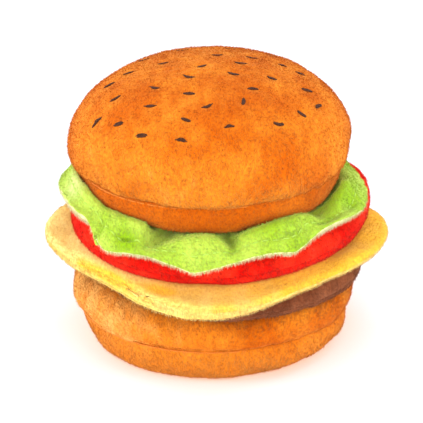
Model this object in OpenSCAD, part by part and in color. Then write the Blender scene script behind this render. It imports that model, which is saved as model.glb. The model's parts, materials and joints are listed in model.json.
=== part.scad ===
// Stuffed hamburger toy in pile fabric: two stuffed buns with a ruffled leaf, a puffed
// tomato slice, a square of cheese and a patty between them, all tied through the middle.
// Millimetres, +Z up. The origin is the middle of the resting face, and the front is -Y.

/* [Fabric and thread] */
// Thickness of the cover fabric, backing and pile together
skin_t = 1.8; // [1.2:0.1:2.2]
// Gap between a cover and its filling
fill_gap = 0.3; // [0.2:0.05:0.5]
// Gap between two pads that lie on each other
pad_gap = 0.4; // [0.3:0.05:0.6]
// Gap between the two covers of a pad at their seam
seam_gap = 0.1; // [0.05:0.05:0.2]
// Diameter of a seam thread
thread_d = 0.9; // [0.5:0.1:1.2]

/* [Bottom bun] */
// Greatest radius
heel_r = 62; // [58:0.5:68]
// Radius of the flat that it rests on
heel_rest_r = 48; // [38:1:52]
// Height of the seam above the resting face
heel_seam_z = 18; // [14:0.5:20]
// How far the seam is drawn in from the greatest radius
heel_seam_in = 2; // [1:0.25:3.5]
// Height of the widest level
heel_belly_z = 24; // [22:0.5:28]
// Radius of the flat on top
heel_top_flat_r = 46; // [40:0.5:50]
// Height of the flat on top
heel_top_z = 34.4; // [31:0.2:38]

/* [Patty] */
// Greatest radius
patty_r = 65; // [62:0.5:70]
// Thickness
patty_t = 12; // [10:0.5:15]
// Width of the rounded edge
patty_edge_w = 9; // [6:0.5:12]
// Radius at which it starts to droop
patty_flat_r = 44; // [40:1:50]
// How far its edge hangs below its middle
patty_droop = 4.5; // [3:0.25:4.75]

/* [Cheese] */
// Half the side of the rounded square
cheese_half_side = 65; // [60:0.5:70]
// Squareness of the outline: 2 is a circle, 8 a sharp square
cheese_power = 3.9; // [3:0.1:6]
// Thickness where it is pressed between its neighbours
cheese_t = 4.2; // [4.2:0.1:6]
// Thickness at its free edge
cheese_edge_t = 5.6; // [5.2:0.1:7]
// Width of the rounded edge
cheese_edge_w = 4.5; // [3:0.25:6]
// Radius at which it starts to droop
cheese_flat_r = 46; // [42:1:50]
// How far its underside hangs at the free edge
cheese_droop = 3.4; // [2.5:0.1:3.6]
// How far inside the patty's edge the droop is complete
cheese_drop_in = 3; // [2:0.5:5]

/* [Tomato] */
// Greatest radius
tomato_r = 66.7; // [62:0.1:69]
// Thickness
tomato_t = 12.8; // [10:0.2:15]
// Width of the rounded edge
tomato_edge_w = 6.7; // [5:0.1:9]
// Radius at which it starts to droop
tomato_flat_r = 44; // [40:1:50]
// How far its edge hangs below its middle
tomato_droop = 1.5; // [0.5:0.1:1.7]

/* [Lettuce] */
// Thickness of each ply of the leaf
ply_t = 1.8; // [1.4:0.1:2.2]
// Thickness of the wadding between the plies
wadding_t = 1; // [0.6:0.1:1.6]
// Radius out to which the leaf lies flat
leaf_flat_r = 57; // [54:0.5:60]
// Width of the leaf's rounded edge
leaf_edge_w = 2.4; // [1.6:0.1:3.4]
// Distance of the stitch line from the leaf's edge
topstitch_in = 4.6; // [3.5:0.1:6]
// Length of one stitch of the stitch line
topstitch_l = 3; // [2:0.1:3.4]
// Number of stitches round the leaf
topstitch_count = 72; // [48:1:80]

/* [Top bun] */
// Greatest radius
crown_r = 62.5; // [58:0.5:68]
// Radius of the flat underside
crown_flat_r = 48; // [42:0.5:52]
// Height of the seam above the underside
crown_seam_h = 14.7; // [12:0.1:18]
// How far the seam is drawn in from the greatest radius
crown_seam_in = 4.4; // [3:0.1:6]
// Height of the widest level above the underside
crown_belly_h = 24.1; // [20:0.1:27]
// Height of the dome above the widest level
dome_h = 34.5; // [28:0.5:42]
// Length of a sesame seed
seed_l = 5; // [3:0.25:6]
// Width of a sesame seed
seed_w = 1.7; // [1:0.1:2.4]
// Height of a sesame seed's stitching
seed_h = 0.9; // [0.5:0.1:1.4]

/* [Squeaker] */
// Height of the squeaker's base above the top bun's underside
squeaker_h = 15; // [13:0.5:18]
// Radius of the squeaker's end plates
squeaker_r = 17; // [14:0.5:20]
// Thickness of the end plates
plate_t = 1.6; // [1:0.1:2.2]
// Height of the bellows between the end plates
bellows_h = 20; // [18:0.5:24]
// Wall of the bellows
bellows_wall = 0.8; // [0.5:0.1:1.2]
// Depth of one fold of the bellows
fold_depth = 2.6; // [1.5:0.1:3.5]
// Number of folds
fold_count = 4; // [3:1:6]
// How far the squeaker can be pressed
press_travel = 8; // [4:0.5:9]
// Outer radius of the reed's barrel
barrel_r = 4; // [3.2:0.1:5]
// Wall of the barrel
barrel_wall = 1; // [0.7:0.05:1.3]
// Room left between the barrel and the pressed end plate
press_clear = 4; // [2:0.5:6]
// Thickness of the reed
reed_t = 0.3; // [0.2:0.05:0.5]

/* [Tie] */
// Diameter of the waxed thread that ties the pads together
tie_d = 2.4; // [1.6:0.1:3.2]
// Clearance of the thread in the eyelets of the pads
tie_gap = 0.3; // [0.2:0.05:0.5]
// Diameter of the knots at its ends
knot_d = 7; // [5:0.25:9]

/* [Hidden] */

// Steps along a quarter of a profile, and round the leaf and the cheese
profile_steps = 14;
edge_steps = 6;
ring_steps = topstitch_count;
round_fn = 64;

// How far a cut runs past each face that it opens
cut_over = 1;

// Colours of the fabrics and the hidden pieces
crust_colour = "sandybrown";
patty_colour = "saddlebrown";
cheese_colour = "khaki";
tomato_colour = "orangered";
leaf_colour = "yellowgreen";
fill_colour = "whitesmoke";
thread_colour = "peru";
seed_colour = "#5a3018";
plastic_colour = "gainsboro";

// Levels of the stack, from the resting face up
patty_z = heel_top_z + pad_gap;
cheese_z = patty_z + patty_t + pad_gap;
tomato_z = cheese_z + cheese_t + pad_gap;
leaf_z = tomato_z + tomato_t + pad_gap;
leaf_t = 2 * ply_t + wadding_t + 2 * fill_gap;
crown_z = leaf_z + leaf_t + pad_gap;
crown_seam_z = crown_z + crown_seam_h;
crown_belly_z = crown_z + crown_belly_h;
squeaker_z = crown_z + squeaker_h;
bellows_z = squeaker_z + plate_t;
cap_z = bellows_z + bellows_h;
barrel_l = bellows_h - press_travel - press_clear;

// Radii that fit on each other
eyelet_r = tie_d / 2 + tie_gap;
heel_seam_r = heel_r - heel_seam_in;
crown_seam_r = crown_r - crown_seam_in;
liner = skin_t + fill_gap;
knot_room_r = knot_d / 2 + fill_gap;
squeaker_room_r = squeaker_r + fill_gap;
topstitch_d = thread_d;
cheese_droop_r = patty_r - cheese_drop_in;

// Ruffles of the leaf, chosen by hand: angle from +X, height of the edge against the
// leaf's middle level, and distance of the edge from the middle
RUFFLES = [
    [0, -1, 71], [15, 1, 69], [30, -2, 72], [45, -1, 71], [60, 4, 69], [75, 1, 70],
    [90, -3, 73], [105, -1, 72], [120, 4, 69], [135, 2, 69], [150, -2, 71], [165, 1, 70],
    [180, 4, 69], [192, 5, 69], [204, 6, 69], [215, 6, 68], [222, 1, 70], [229, -4, 73],
    [238, -4, 73], [246, -2, 71], [255, -4, 73], [264, -6, 75], [273, -5, 74],
    [282, -2, 71], [292, -1, 71], [305, -4, 73], [316, 1, 70], [330, 1, 70],
    [345, -1, 70], [360, -1, 71]
];

// Seeds on the dome, chosen by hand: place to the right and to the back in percent of
// crown_r, and turn
SEEDS = [
    [5, 21, 0], [29, 21, -8], [-32, 14, 0], [-6, -2, 35], [21, 5, 0], [50, 18, -5],
    [-56, 13, 0], [-14, -18, -30], [16, -14, -20], [42, -13, -20], [62, 10, -8], [-69, 2, 5],
    [-37, -26, -35], [-14, -40, -12], [29, -32, 8], [66, -16, 20], [-64, -24, 10], [-40, -46, -15],
    [-2, -54, 28], [22, -48, 85], [74, -29, 60], [-77, -37, 15], [-62, -51, -20], [-16, -66, -32],
    [13, -72, 14], [46, -61, 14], [62, -45, -15], [-46, -69, -22], [-19, -80, -18], [-19, 45, 20],
    [14, 48, -15], [43, 43, 10], [-46, 40, -25], [-10, 70, 5], [29, 72, -30], [69, 38, 30],
    [-69, 34, -15], [-42, 69, 15], [61, 59, 0]
];

// Flange of the reed's barrel, and the fits of the barrel and of the reed in it
barrel_flange_t = 1;
barrel_flange_w = 2;
barrel_clearance = 0.05;
reed_clearance = 0.2;

// Stitches that close the stuffing slit at the back of the bottom bun
closing_stitch_count = 9;
closing_stitch_step = 3.2;
closing_stitch_l = topstitch_l + thread_d;

// Quarter ellipse that leaves [r0, z0] level and reaches [r1, z1] upright
function level_then_upright(r0, z0, r1, z1) =
    [for (i = [0:profile_steps]) let (a = 90 * i / profile_steps)
        [r0 + (r1 - r0) * sin(a), z0 + (z1 - z0) * (1 - cos(a))]];

// Quarter ellipse that leaves [r0, z0] upright and reaches [r1, z1] level
function upright_then_level(r0, z0, r1, z1) =
    [for (i = [0:profile_steps]) let (a = 90 * i / profile_steps)
        [r1 + (r0 - r1) * cos(a), z0 + (z1 - z0) * sin(a)]];

function backwards(points) = [for (i = [len(points) - 1:-1:0]) points[i]];

// Level of a round pad's middle surface at radius r, falling as a parabola past flat_r
function drooped(r, z, flat_r, edge_r, droop) =
    z - droop * pow(max(0, r - flat_r) / (edge_r - flat_r), 2);

// One side of a round pad from its eyelet to its edge: side is 1 for the top, -1 below.
// inset draws the edge and the thickness in, and shift moves the side up.
function pad_side(side, edge_r, edge_w, t, flat_r, z, droop, inset, shift) =
    let (
        round_r = edge_r - edge_w,
        half = t / 2 - inset,
        bend = [for (i = [0:edge_steps]) flat_r + (round_r - flat_r) * i / edge_steps],
        turn = [for (i = [1:profile_steps]) 90 * i / profile_steps]
    )
    concat(
        [[eyelet_r, z + side * half + shift]],
        [for (r = bend) [r, drooped(r, z, flat_r, edge_r, droop) + side * half + shift]],
        [for (a = turn) let (r = round_r + (edge_w - inset) * sin(a))
            [r, drooped(r, z, flat_r, edge_r, droop) + side * half * cos(a) + shift]]
    );

// Cover of one side of a round pad
module pad_panel(side, edge_r, edge_w, t, flat_r, z, droop) {
    shift = side * seam_gap / 2;
    outer = pad_side(side, edge_r, edge_w, t, flat_r, z, droop, 0, shift);
    inner = pad_side(side, edge_r, edge_w, t, flat_r, z, droop, skin_t, shift);
    rotate_extrude($fn = round_fn) polygon(concat(outer, backwards(inner)));
}

// Filling of a round pad
module pad_filling(edge_r, edge_w, t, flat_r, z, droop) {
    top = pad_side(1, edge_r, edge_w, t, flat_r, z, droop, liner, 0);
    low = pad_side(-1, edge_r, edge_w, t, flat_r, z, droop, liner, 0);
    rotate_extrude($fn = round_fn) polygon(concat(low, backwards(top)));
}

// Outline of the bottom bun's lower half, drawn in by inset
function heel_low(inset) =
    concat([[0, inset]],
           level_then_upright(heel_rest_r, inset, heel_seam_r - inset, heel_seam_z));

// Outline of the bottom bun's upper half, from its seam to the edge of its flat top
function heel_high(inset) = concat(
    level_then_upright(heel_seam_r - inset, heel_seam_z, heel_r - inset, heel_belly_z),
    upright_then_level(heel_r - inset, heel_belly_z, heel_top_flat_r, heel_top_z - inset)
);

// Outline of the top bun's lower half, from its flat underside to its seam
function crown_low(inset) =
    level_then_upright(crown_flat_r, crown_z + inset, crown_seam_r - inset, crown_seam_z);

// Outline of the top bun's dome, from its seam to its crown
function crown_high(inset) = concat(
    level_then_upright(crown_seam_r - inset, crown_seam_z, crown_r - inset, crown_belly_z),
    upright_then_level(crown_r - inset, crown_belly_z, 0, crown_belly_z + dome_h - inset)
);

module heel_bottom_panel() {
    color(crust_colour)
        rotate_extrude($fn = round_fn)
            polygon(concat(heel_low(0), backwards(heel_low(skin_t))));
}

module heel_top_panel() {
    outer = concat(heel_high(0), [[eyelet_r, heel_top_z]]);
    inner = concat(heel_high(skin_t), [[eyelet_r, heel_top_z - skin_t]]);
    color(crust_colour)
        rotate_extrude($fn = round_fn)
            polygon(concat(outer, backwards(inner)));
}

// The filling has a pocket under the top cover for the tie's lower knot
module heel_stuffing() {
    top_z = heel_top_z - liner;
    pocket_z = heel_top_z - skin_t - knot_d - 2 * fill_gap;
    color(fill_colour)
        rotate_extrude($fn = round_fn)
            polygon(concat(
                heel_low(liner), heel_high(liner),
                [[knot_room_r, top_z], [knot_room_r, pocket_z], [0, pocket_z]]
            ));
}

// One lockstitch thread tucked under the overhang of a bun's seam
module seam_thread(groove_r, seam_z) {
    nestle = thread_d / 2 + seam_gap / 2;
    color(thread_colour)
        rotate_extrude($fn = round_fn)
            translate([groove_r + nestle, seam_z - nestle])
                circle(d = thread_d, $fn = 24);
}

module heel_seam_thread() {
    seam_thread(heel_seam_r, heel_seam_z);
}

// Ladder stitches below the seam thread, where the slit was sewn shut by hand
module heel_closing_stitches() {
    stitch_r = heel_seam_r + thread_d;
    stitch_z = heel_seam_z - thread_d - seam_gap;
    color(thread_colour)
        for (i = [0:closing_stitch_count - 1]) {
            spin = (i - (closing_stitch_count - 1) / 2) * closing_stitch_step;
            rotate([0, 0, 90 + spin])
                translate([stitch_r, 0, stitch_z])
                    mirror([0, 0, 1])
                        cylinder(d = thread_d, h = closing_stitch_l, $fn = 24);
        }
}

// Waxed thread through every eyelet, knotted inside both buns
module centre_tie() {
    low_z = heel_top_z - skin_t - fill_gap - knot_d / 2;
    high_z = crown_z + skin_t + fill_gap + knot_d / 2;
    color(thread_colour)
        union() {
            translate([0, 0, low_z]) cylinder(d = tie_d, h = high_z - low_z, $fn = round_fn);
            translate([0, 0, low_z]) sphere(d = knot_d, $fn = round_fn);
            translate([0, 0, high_z]) sphere(d = knot_d, $fn = round_fn);
        }
}

module patty_panel(side) {
    middle_z = patty_z + patty_t / 2;
    color(patty_colour)
        pad_panel(side, patty_r, patty_edge_w, patty_t, patty_flat_r, middle_z, patty_droop);
}

module patty_bottom_panel() {
    patty_panel(-1);
}

module patty_top_panel() {
    patty_panel(1);
}

module patty_stuffing() {
    middle_z = patty_z + patty_t / 2;
    color(fill_colour)
        pad_filling(patty_r, patty_edge_w, patty_t, patty_flat_r, middle_z, patty_droop);
}

module tomato_panel(side) {
    middle_z = tomato_z + tomato_t / 2;
    color(tomato_colour)
        pad_panel(side, tomato_r, tomato_edge_w, tomato_t, tomato_flat_r, middle_z,
                  tomato_droop);
}

module tomato_bottom_panel() {
    tomato_panel(-1);
}

module tomato_top_panel() {
    tomato_panel(1);
}

module tomato_stuffing() {
    middle_z = tomato_z + tomato_t / 2;
    color(fill_colour)
        pad_filling(tomato_r, tomato_edge_w, tomato_t, tomato_flat_r, middle_z,
                    tomato_droop);
}

// Distance of the cheese's edge from the middle at an angle from +X: a superellipse that
// stands on its corner, so a corner points to the front
function cheese_reach(angle) =
    let (c = abs(cos(angle - 45)), s = abs(sin(angle - 45)))
    cheese_half_side / pow(pow(c, cheese_power) + pow(s, cheese_power), 1 / cheese_power);

// Share of the cheese's droop that is reached at radius r
function cheese_bend(r) =
    pow(min(1, max(0, r - cheese_flat_r) / (cheese_droop_r - cheese_flat_r)), 2);

function cheese_under(r) = cheese_z - cheese_droop * cheese_bend(r);

function cheese_thickness(r) = cheese_t + (cheese_edge_t - cheese_t) * cheese_bend(r);

// Point of the cheese's top (side 1) or underside (side -1) at an angle and a share of
// the way out, u, with the cover drawn in by inset. The last part of the way rounds over.
function cheese_point(side, angle, u, inset, shift) =
    let (
        reach = cheese_reach(angle),
        round_r = reach - cheese_edge_w,
        a = max(0, (u - 0.6) / 0.4) * 90,
        way = min(1, u / 0.6),
        r = eyelet_r + (round_r - eyelet_r) * way + (cheese_edge_w - inset) * sin(a),
        t = cheese_thickness(r),
        middle = cheese_under(r) + t / 2,
        z = middle + side * (t / 2 - inset) * cos(a) + shift
    )
    [r * cos(angle), r * sin(angle), z];

cheese_rings = [0, 0.3, 0.42, 0.46, 0.5, 0.54, 0.57, 0.6, 0.68, 0.76, 0.84, 0.92, 1];

// Closed solid whose rings of points follow each other round a hollow middle
module ring_solid(rings) {
    n = len(rings[0]);
    m = len(rings);
    points = [for (ring = rings) each ring];
    faces = [
        for (j = [0:m - 1], i = [0:n - 1])
            let (
                here = j * n + i,
                next = j * n + (i + 1) % n,
                over = ((j + 1) % m) * n + i,
                skew = ((j + 1) % m) * n + (i + 1) % n
            )
            each [[here, over, skew], [here, skew, next]]
    ];
    polyhedron(points = points, faces = faces, convexity = 6);
}

function cheese_ring(side, u, inset, shift) =
    [for (i = [0:ring_steps - 1]) cheese_point(side, 360 * i / ring_steps, u, inset, shift)];

module cheese_panel(side) {
    shift = side * seam_gap / 2;
    outer = [for (u = cheese_rings) cheese_ring(side, u, 0, shift)];
    inner = [for (u = backwards(cheese_rings)) cheese_ring(side, u, skin_t, shift)];
    color(cheese_colour)
        ring_solid(side > 0 ? concat(inner, outer) : concat(outer, inner));
}

module cheese_bottom_panel() {
    cheese_panel(-1);
}

module cheese_top_panel() {
    cheese_panel(1);
}

module cheese_wadding() {
    inset = skin_t + fill_gap / 2;
    low = [for (u = cheese_rings) cheese_ring(-1, u, inset, 0)];
    top = [for (u = backwards(cheese_rings)) cheese_ring(1, u, inset, 0)];
    color(fill_colour) ring_solid(concat(low, top));
}

// Smooth step between two neighbours of the ruffle list, for its column k
function ruffle(angle, k) =
    let (
        i = max([for (j = [0:len(RUFFLES) - 2]) RUFFLES[j][0] <= angle ? j : 0]),
        a = RUFFLES[i],
        b = RUFFLES[i + 1],
        s = (1 - cos(180 * (angle - a[0]) / (b[0] - a[0]))) / 2
    )
    a[k] + (b[k] - a[k]) * s;

// Point of one surface of the leaf: level is its height above the leaf's underside where
// the leaf is flat, and u is the share of the way out. The last part rounds over, and is
// moved up by as much as shift at the edge.
function leaf_point(angle, u, level, inset, shift) =
    let (
        reach = ruffle(angle, 2),
        lift = ruffle(angle, 1),
        round_r = reach - leaf_edge_w,
        a = max(0, (u - 0.7) / 0.3) * 90,
        way = min(1, u / 0.7),
        r = eyelet_r + (round_r - eyelet_r) * way + (leaf_edge_w - inset) * sin(a),
        bend = pow(max(0, r - leaf_flat_r) / (reach - leaf_flat_r), 2),
        half = (level - leaf_t / 2) * cos(a),
        z = leaf_z + leaf_t / 2 + half + lift * bend + shift * sin(a)
    )
    [r * cos(angle), r * sin(angle), z];

leaf_rings = [0, 0.35, 0.55, 0.6, 0.64, 0.67, 0.7, 0.8, 0.9, 1];

function leaf_ring(u, level, inset, shift) =
    [for (i = [0:ring_steps - 1])
        leaf_point(360 * i / ring_steps, u, level, inset, shift)];

// Layer of the leaf between two levels, each with its own distance in from the edge
module leaf_layer(low_level, high_level, low_in, high_in, shift) {
    low = [for (u = leaf_rings) leaf_ring(u, low_level, low_in, shift)];
    top = [for (u = backwards(leaf_rings)) leaf_ring(u, high_level, high_in, shift)];
    ring_solid(concat(low, top));
}

module lettuce_bottom_ply() {
    color(leaf_colour)
        leaf_layer(0, ply_t, 0, ply_t, -fill_gap / 2);
}

module lettuce_wadding() {
    low = ply_t + fill_gap;
    color(fill_colour)
        leaf_layer(low, low + wadding_t, ply_t + fill_gap, ply_t + fill_gap, 0);
}

module lettuce_top_ply() {
    color(leaf_colour)
        leaf_layer(leaf_t - ply_t, leaf_t, ply_t, 0, fill_gap / 2);
}

// Stitches that lie on the top ply along the leaf's edge, each between two of its columns
module lettuce_topstitches() {
    color(leaf_colour)
        for (i = [0:topstitch_count - 1]) {
            from = topstitch_place(360 * i / topstitch_count);
            to = topstitch_place(360 * (i + 1) / topstitch_count);
            ahead = to - from;
            flat = norm([ahead[0], ahead[1]]);
            translate((from + to) / 2)
                rotate([0, 90 - atan2(ahead[2], flat), atan2(ahead[1], ahead[0])])
                    cylinder(d = topstitch_d, h = topstitch_l, center = true, $fn = 16);
        }
}

function wrapped(angle) = angle - 360 * floor(angle / 360);

// Place of the stitch line over the top ply at an angle
function topstitch_place(angle) =
    let (
        round_angle = wrapped(angle),
        reach = ruffle(round_angle, 2),
        lift = ruffle(round_angle, 1),
        r = reach - topstitch_in,
        bend = pow(max(0, r - leaf_flat_r) / (reach - leaf_flat_r), 2),
        z = leaf_z + leaf_t + lift * bend + topstitch_d / 2 + fill_gap
    )
    [r * cos(angle), r * sin(angle), z];

module crown_base_panel() {
    outer = concat([[eyelet_r, crown_z]], crown_low(0));
    inner = concat([[eyelet_r, crown_z + skin_t]], crown_low(skin_t));
    color(crust_colour)
        rotate_extrude($fn = round_fn)
            polygon(concat(outer, backwards(inner)));
}

module crown_dome_panel() {
    color(crust_colour)
        rotate_extrude($fn = round_fn)
            polygon(concat(crown_high(0), backwards(crown_high(skin_t))));
}

// The filling has a room for the tie's upper knot and one for the squeaker above it
module crown_stuffing() {
    floor_z = crown_z + liner;
    knot_top_z = crown_z + skin_t + knot_d + 2 * fill_gap;
    room_z = squeaker_z - barrel_flange_t - fill_gap;
    roof_z = cap_z + plate_t + fill_gap;
    color(fill_colour)
        rotate_extrude($fn = round_fn)
            polygon(concat(
                [[knot_room_r, floor_z]], crown_low(liner), crown_high(liner),
                [
                    [0, roof_z], [squeaker_room_r, roof_z], [squeaker_room_r, room_z],
                    [eyelet_r, room_z], [eyelet_r, knot_top_z], [knot_room_r, knot_top_z]
                ]
            ));
}

module crown_seam_thread() {
    seam_thread(crown_seam_r, crown_seam_z);
}

// Embroidered seeds that lie on the dome's true ellipse, each tangent to it
module sesame_seeds() {
    color(seed_colour)
        for (seed = SEEDS) {
            x = crown_r * seed[0] / 100;
            y = crown_r * seed[1] / 100;
            r = norm([x, y]);
            rise = sqrt(1 - pow(r / crown_r, 2));
            lean = atan2(dome_h * r, crown_r * crown_r * rise);
            way = atan2(y, x);
            translate([x, y, crown_belly_z + dome_h * rise])
                rotate([0, 0, way])
                    rotate([0, lean, 0])
                        rotate([0, 0, seed[2] - way])
                            translate([0, 0, seam_gap])
                                seed_stitch();
        }
}

// Satin-stitched bar with round ends
module seed_stitch() {
    straight = seed_l - seed_w;
    linear_extrude(height = seed_h)
        union() {
            square([straight, seed_w], center = true);
            translate([-straight / 2, 0]) circle(d = seed_w, $fn = 24);
            translate([straight / 2, 0]) circle(d = seed_w, $fn = 24);
        }
}

module squeaker_base() {
    color(plastic_colour)
        translate([0, 0, squeaker_z])
            difference() {
                cylinder(r = squeaker_r, h = plate_t, $fn = round_fn);
                translate([0, 0, -cut_over])
                    cylinder(r = barrel_r + barrel_clearance, h = plate_t + 2 * cut_over,
                             $fn = round_fn);
            }
}

// Folded wall of the air bladder between its two end plates
module squeaker_bellows() {
    fold_h = bellows_h / (2 * fold_count);
    outer = [for (i = [0:2 * fold_count])
        [squeaker_r - fill_gap - (i % 2) * fold_depth, bellows_z + i * fold_h]];
    inner = [for (p = backwards(outer)) [p[0] - bellows_wall, p[1]]];
    color(plastic_colour)
        rotate_extrude($fn = round_fn)
            polygon(concat(outer, inner));
}

module squeaker_cap() {
    color(plastic_colour)
        translate([0, 0, cap_z])
            cylinder(r = squeaker_r, h = plate_t, $fn = round_fn);
}

// Voice plug: a tube with a flange under the base and a half-round seat for the reed
module reed_barrel() {
    bore_r = barrel_r - barrel_wall;
    total = barrel_flange_t + plate_t + barrel_l;
    cut_l = total + 2 * cut_over;
    color("ivory")
        translate([0, 0, squeaker_z - barrel_flange_t])
            difference() {
                union() {
                    cylinder(r = barrel_r + barrel_flange_w, h = barrel_flange_t,
                             $fn = round_fn);
                    cylinder(r = barrel_r, h = total, $fn = round_fn);
                }
                translate([0, 0, -cut_over])
                    intersection() {
                        cylinder(r = bore_r, h = cut_l, $fn = round_fn);
                        translate([-bore_r, -reed_t - reed_clearance, 0])
                            cube([2 * bore_r, bore_r + reed_t + reed_clearance, cut_l]);
                    }
            }
}

module squeaker_reed() {
    bore_r = barrel_r - barrel_wall;
    reed_w = 2 * (bore_r - 2 * reed_clearance);
    color("white")
        translate([-reed_w / 2, -reed_t - reed_clearance / 2, squeaker_z])
            cube([reed_w, reed_t, plate_t + barrel_l - barrel_flange_t]);
}

heel_bottom_panel();
heel_top_panel();
heel_stuffing();
heel_seam_thread();
heel_closing_stitches();
centre_tie();
patty_bottom_panel();
patty_top_panel();
patty_stuffing();
cheese_bottom_panel();
cheese_top_panel();
cheese_wadding();
tomato_bottom_panel();
tomato_top_panel();
tomato_stuffing();
lettuce_bottom_ply();
lettuce_top_ply();
lettuce_wadding();
lettuce_topstitches();
crown_base_panel();
crown_dome_panel();
crown_stuffing();
crown_seam_thread();
sesame_seeds();
squeaker_base();
squeaker_bellows();
squeaker_cap();
reed_barrel();
squeaker_reed();
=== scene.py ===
"""Looks of a stuffed hamburger toy in short pile fabric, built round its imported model.

Lengths are in millimetres until a mesh is made, angles are in radians unless a name says
degrees, +Z is up and the front is -Y. A cover is a grid of points: its rows lead away from
the middle of the pad and its columns go round the upright axis.
"""

import json
import logging
import math
from dataclasses import dataclass
from enum import Enum
from typing import Callable, Iterable

import bpy
import numpy as np
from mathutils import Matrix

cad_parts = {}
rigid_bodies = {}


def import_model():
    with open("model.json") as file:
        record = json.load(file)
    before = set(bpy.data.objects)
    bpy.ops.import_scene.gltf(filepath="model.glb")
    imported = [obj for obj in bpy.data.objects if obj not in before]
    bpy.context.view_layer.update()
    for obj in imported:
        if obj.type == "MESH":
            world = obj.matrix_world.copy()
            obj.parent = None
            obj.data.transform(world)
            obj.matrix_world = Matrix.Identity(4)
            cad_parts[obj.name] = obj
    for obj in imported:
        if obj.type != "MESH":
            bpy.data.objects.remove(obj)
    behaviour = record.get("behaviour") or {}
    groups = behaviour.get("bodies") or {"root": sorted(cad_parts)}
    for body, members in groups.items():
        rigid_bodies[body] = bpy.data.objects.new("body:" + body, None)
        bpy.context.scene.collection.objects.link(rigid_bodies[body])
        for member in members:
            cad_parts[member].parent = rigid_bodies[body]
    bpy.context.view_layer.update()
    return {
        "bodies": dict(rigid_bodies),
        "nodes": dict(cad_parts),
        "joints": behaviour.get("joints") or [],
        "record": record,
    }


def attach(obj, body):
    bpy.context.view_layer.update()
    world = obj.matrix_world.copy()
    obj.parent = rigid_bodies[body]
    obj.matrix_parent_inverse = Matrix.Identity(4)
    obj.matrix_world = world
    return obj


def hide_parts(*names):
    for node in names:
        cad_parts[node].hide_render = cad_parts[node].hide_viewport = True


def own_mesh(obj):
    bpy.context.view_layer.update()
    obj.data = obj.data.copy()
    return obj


log = logging.getLogger("hamburger")

MM = 0.001  # metres in a millimetre
COLUMNS = 240  # of a cover's grid
ROW_STEP = 1.2  # distance between a cover's rows
CLOTH_THICKNESS = 1.2  # without its pile
Colour = tuple[int, int, int]
Vector3 = tuple[float, float, float]
Point = tuple[float, float]
Table = tuple[Point, ...]
Marks = tuple[tuple[Vector3, float, float], ...]


class Side(Enum):
    """Which way a cover of a pad faces."""

    TOP = 1
    BOTTOM = -1


# ---- numbers on grids


def smooth(low: float, high: float, x: np.ndarray) -> np.ndarray:
    """Smooth step t * t * (3 - 2 t) with t = (x - low) / (high - low) kept in 0..1."""
    t = np.clip((x - low) / (high - low), 0.0, 1.0)
    return t * t * (3.0 - 2.0 * t)


def unit(vectors: np.ndarray) -> np.ndarray:
    """Vectors along the last axis divided by their own length."""
    length = np.linalg.norm(vectors, axis=-1, keepdims=True)
    return vectors / np.maximum(length, 1e-9)


def arc(start: Point, end: Point, count: int, level_first: bool) -> np.ndarray:
    """Quarter ellipse between two points [r, z] of a profile.

    Leaving level: r = r0 + (r1 - r0) sin a, z = z0 + (z1 - z0) (1 - cos a).
    Leaving upright: r = r1 + (r0 - r1) cos a, z = z0 + (z1 - z0) sin a.

    Args:
        start: Its first point.
        end: Its last point.
        count: Number of steps.
        level_first: Whether it leaves the first point level or upright.

    Returns:
        Points of the profile, one row each.
    """
    a = np.linspace(0.0, math.pi / 2, count + 1)
    (r0, z0), (r1, z1) = start, end
    if level_first:
        return np.stack([r0 + (r1 - r0) * np.sin(a), z0 + (z1 - z0) * (1 - np.cos(a))], 1)
    return np.stack([r1 + (r0 - r1) * np.cos(a), z0 + (z1 - z0) * np.sin(a)], 1)


def spread_evenly(profile: np.ndarray, step: float) -> np.ndarray:
    """Points of a profile set anew at equal steps of its length."""
    gaps = np.linalg.norm(np.diff(profile, axis=0), axis=1)
    along = np.concatenate([[0.0], np.cumsum(gaps)])
    at = np.linspace(0.0, along[-1], max(2, int(round(along[-1] / step))) + 1)
    return np.stack([np.interp(at, along, profile[:, k]) for k in (0, 1)], 1)


def around(columns: int = COLUMNS) -> np.ndarray:
    """Angles of the columns of a grid."""
    return np.arange(columns) * 2 * math.pi / columns


def polar(r: np.ndarray, angle: np.ndarray, z: np.ndarray | float) -> np.ndarray:
    """Points r cos, r sin, z from radii, angles and heights."""
    return np.stack(np.broadcast_arrays(r * np.cos(angle), r * np.sin(angle), z), -1)


def revolved(profile: np.ndarray, columns: int = COLUMNS) -> np.ndarray:
    """Grid [rows, columns, 3] of a profile [r, z] turned round the axis."""
    return polar(profile[:, :1], around(columns)[None, :], profile[:, 1:2])


def numbered(grid: np.ndarray) -> np.ndarray:
    """Index of each point of a grid, row after row."""
    return np.arange(grid.shape[0] * grid.shape[1]).reshape(grid.shape[:2])


def sampled(grid: np.ndarray, row: np.ndarray, column: np.ndarray, s: np.ndarray,
            t: np.ndarray) -> np.ndarray:
    """Values inside the cells of a grid whose columns close on themselves.

    v = (1 - s) (1 - t) v00 + s (1 - t) v10 + (1 - s) t v01 + s t v11.

    Args:
        grid: Values of the points.
        row: Row of each cell's first point.
        column: Column of each cell's first point.
        s: Share of the way to the next row.
        t: Share of the way to the next column.

    Returns:
        One value for each cell asked for.
    """
    after = (column + 1) % grid.shape[1]
    return ((1 - s) * (1 - t) * grid[row, column] + s * (1 - t) * grid[row + 1, column]
            + (1 - s) * t * grid[row, after] + s * t * grid[row + 1, after])


def off_by(angle: np.ndarray, degrees: float) -> np.ndarray:
    """Degrees from a direction to angles, -180..180."""
    return (np.degrees(angle) - degrees + 180.0) % 360.0 - 180.0


def tapered(s: np.ndarray, radius: float) -> np.ndarray:
    """Radii of a thread closed at both ends: radius (1 - s^4)^0.5 with s in -1..1."""
    return radius * np.sqrt(np.clip(1 - s ** 4, 0, 1))


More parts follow.
